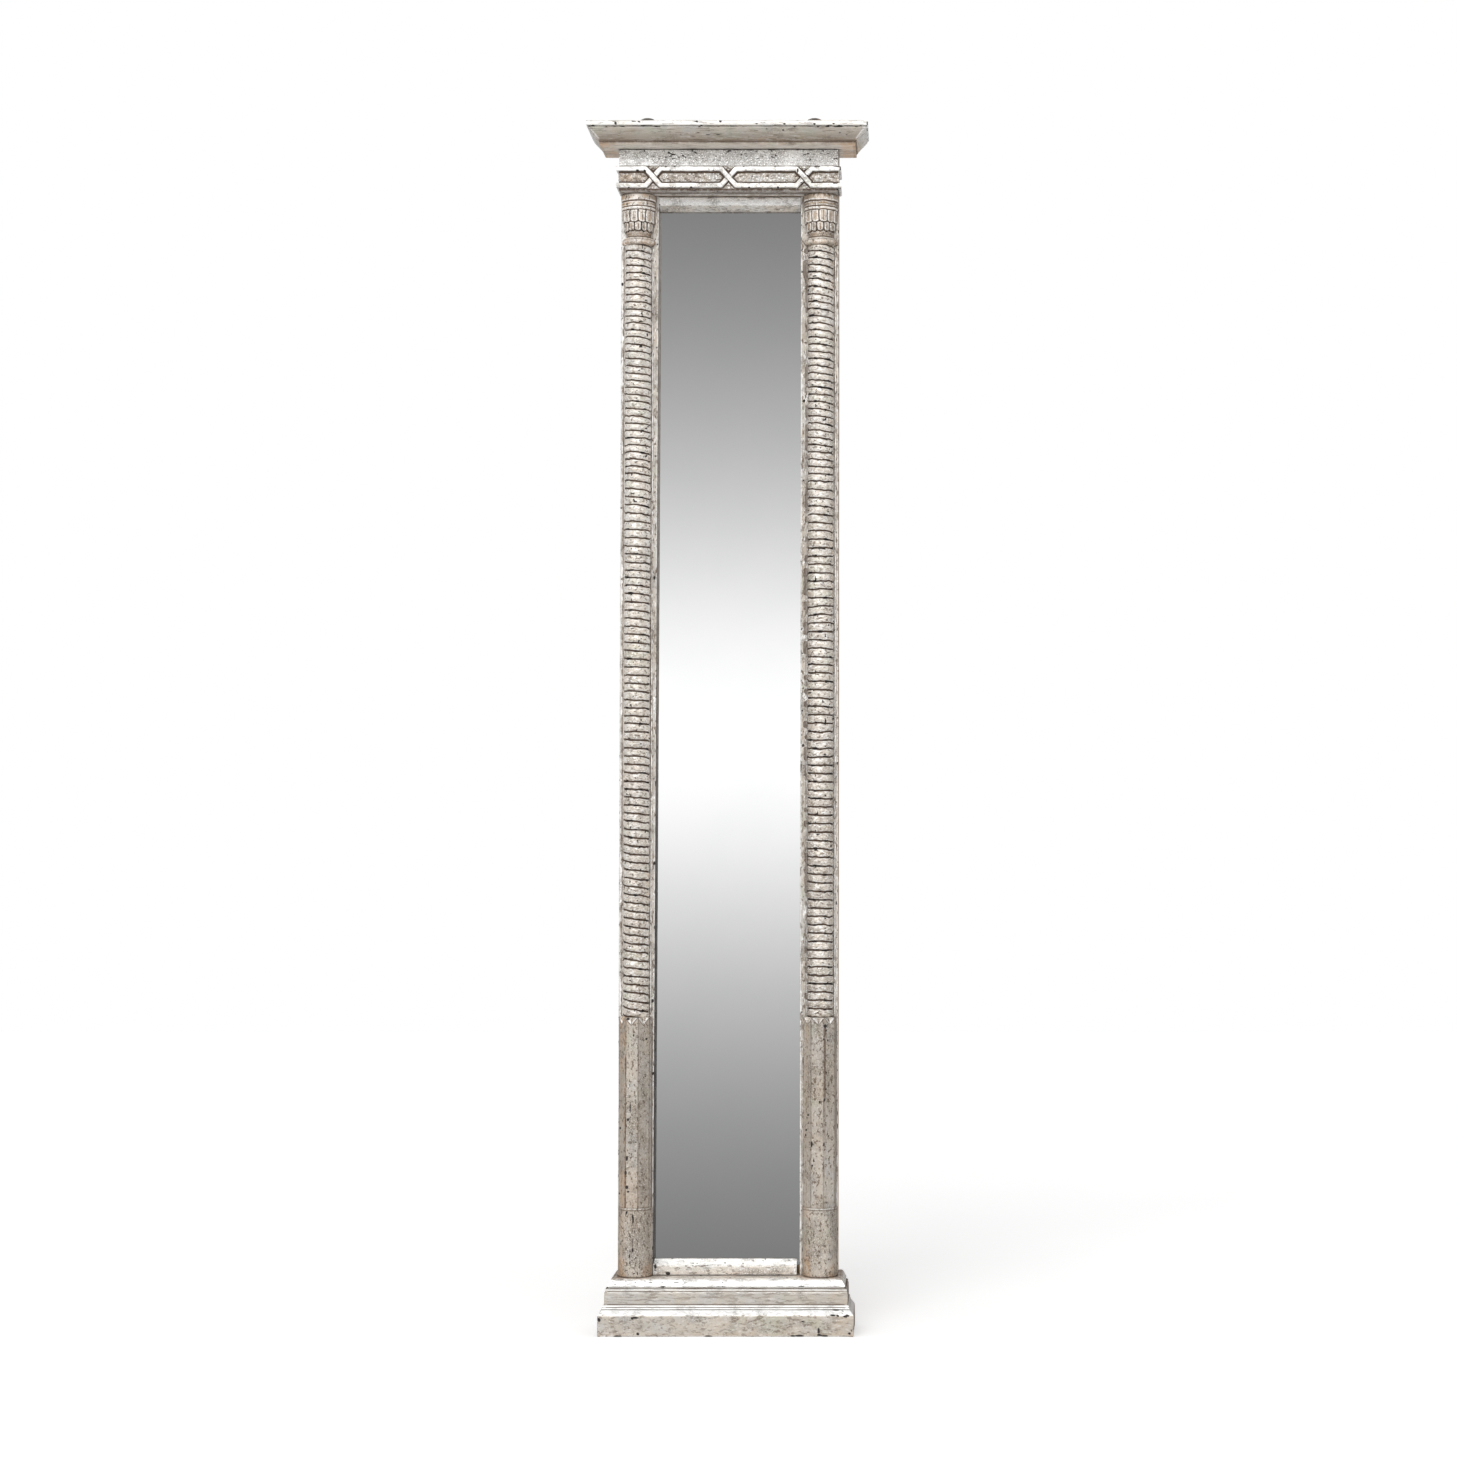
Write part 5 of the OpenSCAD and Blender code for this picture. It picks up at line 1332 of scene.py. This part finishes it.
# ------------------------------------------------------------------ plinth
SP = 20.0
shelf = [(-41, ZCOL - 9, 6), (0, ZCOL - 9, 3), (SP - 10.3, ZCOL - 9), (SP - 10.1, ZCOL - 8.2), (SP - 14.6, ZCOL - 0.5), (SP - 15.4, ZCOL - 0.02, 2.0),
         (0, ZCOL - 0.02, 2.0), (-41, ZCOL - 0.02, 5)]
upper = [(-12, 31.45, 5), (0, 31.45, 4), (SP - 5.4, 31.45), (SP - 5.2, 31.9), (SP - 5.2, 33.0), (SP - 6.5, 33.4), (SP - 6.5, 34.1), (SP - 5.7, 34.6),
         (SP - 5.9, 35.8), (SP - 7.6, 36.4), (SP - 7.7, 37.2), (SP - 7.4, 38.0), (SP - 7.5, 51.0), (SP - 7.9, 52.0), (SP - 8.8, 52.3), (SP - 8.3, 52.9),
         (SP - 8.1, 54.0), (SP - 8.6, 55.0), (SP - 11.4, 55.6), (SP - 11.4, 56.95, 3), (0, 56.95, 4), (-12, 56.95, 5)]
lower = [(-12, 0.0, 6), (0, 0.0, 3), (SP - 0.2, 0.0), (SP, 0.6), (SP, 24.6), (SP - 0.4, 25.6), (SP - 5.0, 30.9), (SP - 6.2, 31.35, 3), (0, 31.35, 4), (-12, 31.35, 6)]


MARKS = ((-149.6, 20.0, 1.6, 2.2), (-107.0, 22.6, 4.2, 1.1), (-110.5, 21.8, 1.0, 1.2), (-103.4, 3.6, 1.6, 1.6), (111.0, 7.5, 1.2, 3.6), (111.6, 2.2, 2.6, 1.0),
         (141.8, 24.0, 2.0, 1.2), (87.3, 1.4, 5.0, 0.9), (80.0, 1.2, 3.0, 0.8), (127.4, 25.5, 3.0, 1.0), (133.0, 24.8, 1.2, 1.4), (118.1, 1.2, 4.0, 0.9),
         (146.5, 4.0, 1.4, 1.6), (144.5, 25.2, 2.2, 1.2), (138.5, 29.0, 0.8, 1.6), (131.0, 31.0, 3.4, 0.7), (150.2, 7.5, 0.9, 1.6), (92.0, 18.0, 1.6, 0.9), (-128.0, 0.9, 4.5, 0.8), (-20.0, 1.0, 5.0, 0.7))


def plinth_layers(V, seed, kind):
    x, z = V[:, 0], V[:, 2]
    p = YB - V[:, 1]
    tone = 0.09 * fbm(V, (60, 20, 12), seed, 3)
    pat = 0.15 * smooth(0.2, 0.6, fbm(V, 26, seed + 2))
    crack = np.full(len(V), 0.14)
    stain = np.zeros(len(V))
    nick = smooth(0.78, 0.84, noise(V, (4, 4, 2.0), seed + 4)) * 0.7
    if kind == "shelf":
        face = smooth(ZCOL - 0.6, ZCOL - 2.0, z)
        # painted light: the front and its upward bevel lighter than the top
        tone = tone + 0.76 * face + 0.26
        pat = pat + (1 - face) * (0.36 + 0.35 * noise(V, 14, seed + 3))
        # dirt round the feet of the columns and along the sill
        d = np.hypot(np.abs(x) - COLX, p - FACE) - 20.5
        stain = (1 - face) * np.maximum(0.8 * smooth(3.2, 0.4, d + 0.8 * noise(V, 5, seed + 5)), 0.55 * smooth(2.5, 0.4, p - FACE))
        pat = pat + (1 - face) * 0.8 * smooth(14, 3, d + 3 * noise(V, 6, seed + 8))
        stain = np.maximum(stain, 0.45 * smooth(0.25, 0.6, noise(V, (14, 6, 3), seed + 6)) * smooth(1.6, 0.4, np.abs(z - ZCOL + 1.2)))
    elif kind == "upper":
        # painted light on the beads and bevels at the foot and the head of this tier; painted shade in the quirks
        # between them
        tone = tone + 1.25 * smooth(36.9, 36.3, z) + 0.63 * smooth(52.4, 52.9, z) - 0.27
        stain = 0.8 * smooth(0.7, 0.2, np.abs(z - 52.2)) + 0.55 * smooth(0.6, 0.2, np.abs(z - 36.9)) + 0.5 * smooth(0.5, 0.2, np.abs(z - 33.8)) \
            + 1.0 * smooth(1.0, 0.4, np.abs(z - 55.4))
        nick = nick * 0.5
    else:
        slope = smooth(25.0, 26.2, z)
        # painted light on the upward bevel
        tone = tone + 1.50 * slope - 0.30
        pat = pat + 0.35 * smooth(7, 1, z)
        nick = nick * 0.6
        stain = 0.35 * smooth(0.8, 0.2, np.abs(z - 31.0)) + 0.6 * smooth(1.3, 0.3, z)
        front = p > PLP + SP - 6
        for mx, mz, w, h in MARKS:
            nick = np.maximum(nick, 1.3 * np.exp(-((x - mx + 0.5 * noise(V, 2, 477)) / w) ** 2 - ((z - mz) / h) ** 2) * front)
    stain = stain * (0.65 + 0.5 * noise(V, (18, 18, 4), seed + 7))
    # the upright corners keep their colour
    corner = smooth(5.0, 3.0, np.abs(np.abs(x) - HW - (p - PLP)))
    # the returns are browner and darker
    side = smooth(0.6, 1.6, np.abs(x) - HW - (p - PLP))
    tone = tone - 0.42 * side
    pat = pat + 0.45 * side
    stain = stain + 0.22 * side
    return dict(tone=tone, patina=np.clip(pat, 0, 1), chip=nick, crack=crack, stain=np.clip(stain, 0, 1), gain=1 - 0.97 * corner)


for kind, prof, material, z_lock in (("shelf", shelf, LEAF_X, None), ("upper", upper, LEAF_COOL, None), ("lower", lower, LEAF_BASE, 0.0)):
    q = resample(prof, 1.1, 1)
    if kind == "lower":
        q[:, 1] = np.maximum(q[:, 1], 0.0)
    node = {"shelf": "plinth_shelf_", "upper": "plinth_upper_", "lower": "plinth_base_"}[kind]
    lock = (lambda V: (V[:, 2] < 0.4).astype(float)) if kind == "lower" else None
    V, F = run_front(q, HW, PLP, 2.0)
    build(Piece("plinth_" + kind + "_moulding").add(V, F, **plinth_layers(V, 401, kind)), "frame", material,
          (node + "front",), 0.7, 0.8, 42, 403, (2.2, 0.30), fixed=lock, chip_rate=0.2)
    qs = q[q[:, 0] >= -0.5].copy()
    qs[:, 0] = np.maximum(qs[:, 0], 0.05)
    for side, tag in ((-1, "left"), (1, "right")):
        V, F = run_side(qs, HW, PLP, 0.02, 2.0, side)
        build(Piece("plinth_" + kind + "_return_" + tag).add(V, F, **plinth_layers(V, 405 + side, kind)), "frame", material,
              (node + tag,), 0.7, 0.8, 42, 407 + side, (2.2, 0.30), fixed=lock, chip_rate=0.2)

# ------------------------------------------------------------------ back frame and backboards
STI, LAP, BT = 94.6, 10.0, 6.0
RZ0, RZ1 = 75.4, 1362.5


def wood(name, geo, material, replaces, seed):
    V, F = geo
    lay = {"tone": 0.0 * V[:, 0]}
    keep = lambda V: (V[:, 2] < 0.5).astype(float)
    return build(Piece(name).add(V, F, **lay), "frame", material, replaces, 0.35, 0.5, 40, seed, (2.5, 0.35), fixed=keep)


def section(pts, step, r=1):
    return resample(pts, step, r)


def back_stile(side):
    rings = []
    for z in np.unique(np.concatenate([[0.0, 0.9], np.linspace(3, RZ0 - LAP - 1, 14), [RZ0 - LAP - 0.2, RZ0 - LAP + 0.2], np.linspace(RZ0, RZ1, 320),
                                       [RZ1 + LAP - 0.2, RZ1 + LAP + 0.2], np.linspace(RZ1 + LAP + 2, ZTOP - 2, 14), [ZTOP - 0.8, ZTOP - 0.05]])):
        full = z < RZ0 - LAP or z > RZ1 + LAP
        xr, pr = (STI + 0.3, 0.3) if full else (STI + LAP, BT)
        e = 0.7 if z in (0.0, ZTOP - 0.05) else 0.0
        q = [(STI + e, pr), (STI + e, 10), (STI + e, BACK - 1.2), (STI + 0.4, BACK - 0.3), (STI + 1.2, BACK - e), (112, BACK - e), (HW - 1.0, BACK - e),
             (HW - 0.3 - e, BACK - 0.3), (HW - e, BACK - 1.0), (HW - e, 14), (HW - e, 1.2), (HW - 0.35 - e, 0.35 + e), (HW - 1.2, e), (118, e), (xr + 0.6, e), (xr, 0.25 + e), (xr, pr - 0.1)]
        q = np.array(q)
        rings.append(np.stack([side * q[:, 0], YB - q[:, 1], np.full(len(q), z)], 1))
    return loft(rings)


for side, tag in ((-1, "left"), (1, "right")):
    wood("pine_stile_" + tag, back_stile(side), WOOD_Z, ("back_stile_" + tag,), 501 + side)


def rail(pts, x1):
    q = section(pts, 2.2, 1)
    return loft([np.stack([np.full(len(q), x), YB - q[:, 0], q[:, 1]], 1) for x in np.linspace(-x1, x1, 90)])


wood("pine_rail_head", rail([(BT, RZ1), (BACK, RZ1), (BACK, ZTOP - 0.05), (0.05, ZTOP - 0.05), (0.05, RZ1 + LAP), (BT, RZ1 + LAP)], STI - 0.05), WOOD_X, ("back_rail_top",), 511)
wood("pine_rail_foot", rail([(0.05, 6.0), (BACK, 6.0), (BACK, RZ0), (BT, RZ0), (BT, RZ0 - LAP), (0.05, RZ0 - LAP)], STI - 0.05), WOOD_X, ("back_rail_bottom",), 513)
bz0, bz1 = RZ0 - LAP + 0.3, RZ1 + LAP - 0.3
for i, tag in enumerate(("lower", "middle", "upper")):
    a = bz0 + i * (bz1 - bz0) / 3 + (0.4 if i else 0)
    b = bz0 + (i + 1) * (bz1 - bz0) / 3 - (0.4 if i < 2 else 0)
    wood("pine_backboard_" + tag, board(-STI - LAP + 0.4, STI + LAP - 0.4, 0.12, BT - 0.02, a, b, "z", 4.0, 0.7), BOARD_Z, ("backboard_" + tag,), 521 + i)
lo_d, hi_d = [np.array(c) * 1000 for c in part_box("dust_board")]
wood("pine_dust_board", board(lo_d[0], hi_d[0], YB - hi_d[1], YB - lo_d[1], lo_d[2], hi_d[2], "x", 5.0, 0.8), WOOD_X, ("dust_board",), 531)


# ------------------------------------------------------------------ kept from the CAD: glass, blocks and ironwork
def paint(node, material):
    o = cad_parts[node]
    o.data.materials.clear()
    o.data.materials.append(material)


for n in ("plinth_glue_blocks", "frieze_glue_blocks", "glass_blocks"):
    paint(n, WOOD_Z)
for n in ("backboard_nails", "frame_screws", "hanger_screws", "hanger_strap_left", "hanger_strap_right"):
    paint(n, IRON)
for n in ("hanger_ring_left", "hanger_ring_right"):
    paint(n, WIRE)
paint("mirror_glass", GLASS)

# ------------------------------------------------------------------ floor, light, camera
fm = bpy.data.meshes.new("studio_floor")
fm.from_pydata([(-5, -5, -0.0002), (5, -5, -0.0002), (5, 5, -0.0002), (-5, 5, -0.0002)], [], [(0, 1, 2, 3)])
fm.materials.append(plain_floor("pale_floor"))
floor = bpy.data.objects.new("studio_floor", fm)
bpy.context.scene.collection.objects.link(floor)
floor.visible_glossy = False

sun = bpy.data.lights.new("overhead_softbox", "SUN")
sun.energy = 1.15
sun.angle = math.radians(38)
so = bpy.data.objects.new("overhead_softbox", sun)
el, az = math.radians(36), math.radians(-12)
to_light = Vector((math.sin(az) * math.cos(el), -math.cos(az) * math.cos(el), math.sin(el)))
so.rotation_euler = (-to_light).to_track_quat("-Z", "Y").to_euler()
bpy.context.scene.collection.objects.link(so)

world = bpy.data.worlds.new("studio")
bpy.context.scene.world = world
world.use_nodes = True
wt = world.node_tree
wt.nodes.clear()


def wn(kind, **kw):
    node = wt.nodes.new(kind)
    for a, b in kw.items():
        setattr(node, a, b)
    return node


def wmath(op, a, b=None):
    k = wn("ShaderNodeMath", operation=op)
    for s, v in zip(k.inputs, (a, b)):
        if v is None:
            continue
        if isinstance(v, (int, float)):
            s.default_value = v
        else:
            wt.links.new(v, s)
    return k.outputs[0]


tc = wn("ShaderNodeTexCoord")
sep = wn("ShaderNodeSeparateXYZ")
wt.links.new(tc.outputs["Generated"], sep.inputs[0])
X, Y, Z = sep.outputs["X"], sep.outputs["Y"], sep.outputs["Z"]
hor = wmath("SQRT", wmath("ADD", wmath("MULTIPLY", X, X), wmath("MULTIPLY", Y, Y)))
t = wmath("DIVIDE", Z, wmath("MAXIMUM", hor, 0.001))
# what the glass shows: a bright wall at eye level that falls away evenly above and below
t2 = wmath("MAXIMUM", wmath("MULTIPLY", wmath("SUBTRACT", t, 0.0325), 10.4), wmath("MULTIPLY", wmath("SUBTRACT", 0.0325, t), 11.1))
band = wmath("DIVIDE", 1.12, wmath("ADD", 1.0, wmath("MULTIPLY", t2, t2)))


def step(x, a, b, lo, hi):
    k = wn("ShaderNodeMapRange", clamp=True)
    k.interpolation_type = "SMOOTHSTEP"
    k.inputs["From Min"].default_value = a
    k.inputs["From Max"].default_value = b
    k.inputs["To Min"].default_value = lo
    k.inputs["To Max"].default_value = hi
    wt.links.new(x, k.inputs["Value"])
    return k.outputs["Result"]


# the room: brighter in front and to the left, dim behind and below
front = step(wmath("MULTIPLY", Y, -1.0), -0.3, 0.9, 0.0, 1.0)
left = step(wmath("MULTIPLY", X, -1.0), -0.8, 0.8, 0.70, 1.20)
high = step(t, -0.10, 0.9, 0.0, 1.0)
room = wmath("ADD", 0.36, wmath("MULTIPLY", wmath("MULTIPLY", front, left), wmath("ADD", 0.44, wmath("MULTIPLY", high, 0.22))))
room = wmath("MULTIPLY", room, step(t, -0.9, -0.02, 0.80, 1.0))
level_light = wmath("MULTIPLY", step(wmath("ABSOLUTE", wmath("SUBTRACT", t, 0.04)), 0.0, 0.75, 1.0, 0.0), step(wmath("MULTIPLY", Y, -1.0), 0.0, 0.8, 0.0, 1.0))
room = wmath("ADD", room, wmath("MULTIPLY", level_light, 0.62))
# only the narrow window of directions that the glass throws back to the camera shows the wall
az_m = wmath("ADD", wmath("DIVIDE", X, wmath("MAXIMUM", hor, 0.001)), 0.062)
win = wmath("MULTIPLY", step(wmath("ABSOLUTE", az_m), 0.07, 0.14, 1.0, 0.0), step(wmath("ABSOLUTE", wmath("SUBTRACT", t, 0.03)), 0.26, 0.36, 1.0, 0.0))
win = wmath("MULTIPLY", win, step(wmath("MULTIPLY", Y, -1.0), 0.0, 0.2, 0.0, 1.0))
blend = wn("ShaderNodeMix", data_type="FLOAT")
wt.links.new(win, blend.inputs["Factor"])
wt.links.new(room, blend.inputs["A"])
wt.links.new(band, blend.inputs["B"])
level = blend.outputs[0]
seen = wn("ShaderNodeLightPath").outputs["Is Camera Ray"]
mixf = wn("ShaderNodeMix", data_type="FLOAT")
wt.links.new(seen, mixf.inputs["Factor"])
wt.links.new(level, mixf.inputs["A"])
mixf.inputs["B"].default_value = 1.0
bg = wn("ShaderNodeBackground")
bg.inputs["Color"].default_value = (1, 1, 1, 1)
wt.links.new(mixf.outputs[0], bg.inputs["Strength"])
wo = wn("ShaderNodeOutputWorld")
wt.links.new(bg.outputs[0], wo.inputs["Surface"])
bpy.context.scene.view_settings.view_transform = "Standard"

cam = bpy.data.cameras.new("camera")
cam.lens = 70.3
cam.sensor_width = 36.0
cam.shift_x = -0.12364
cam.clip_start, cam.clip_end = 0.05, 60
co = bpy.data.objects.new("camera", cam)
co.location = (0.21717, (YB - 3481.8) / 1000.0, 0.6027)
co.rotation_euler = (math.radians(92.0), 0, 0)
bpy.context.scene.collection.objects.link(co)
bpy.context.scene.camera = co
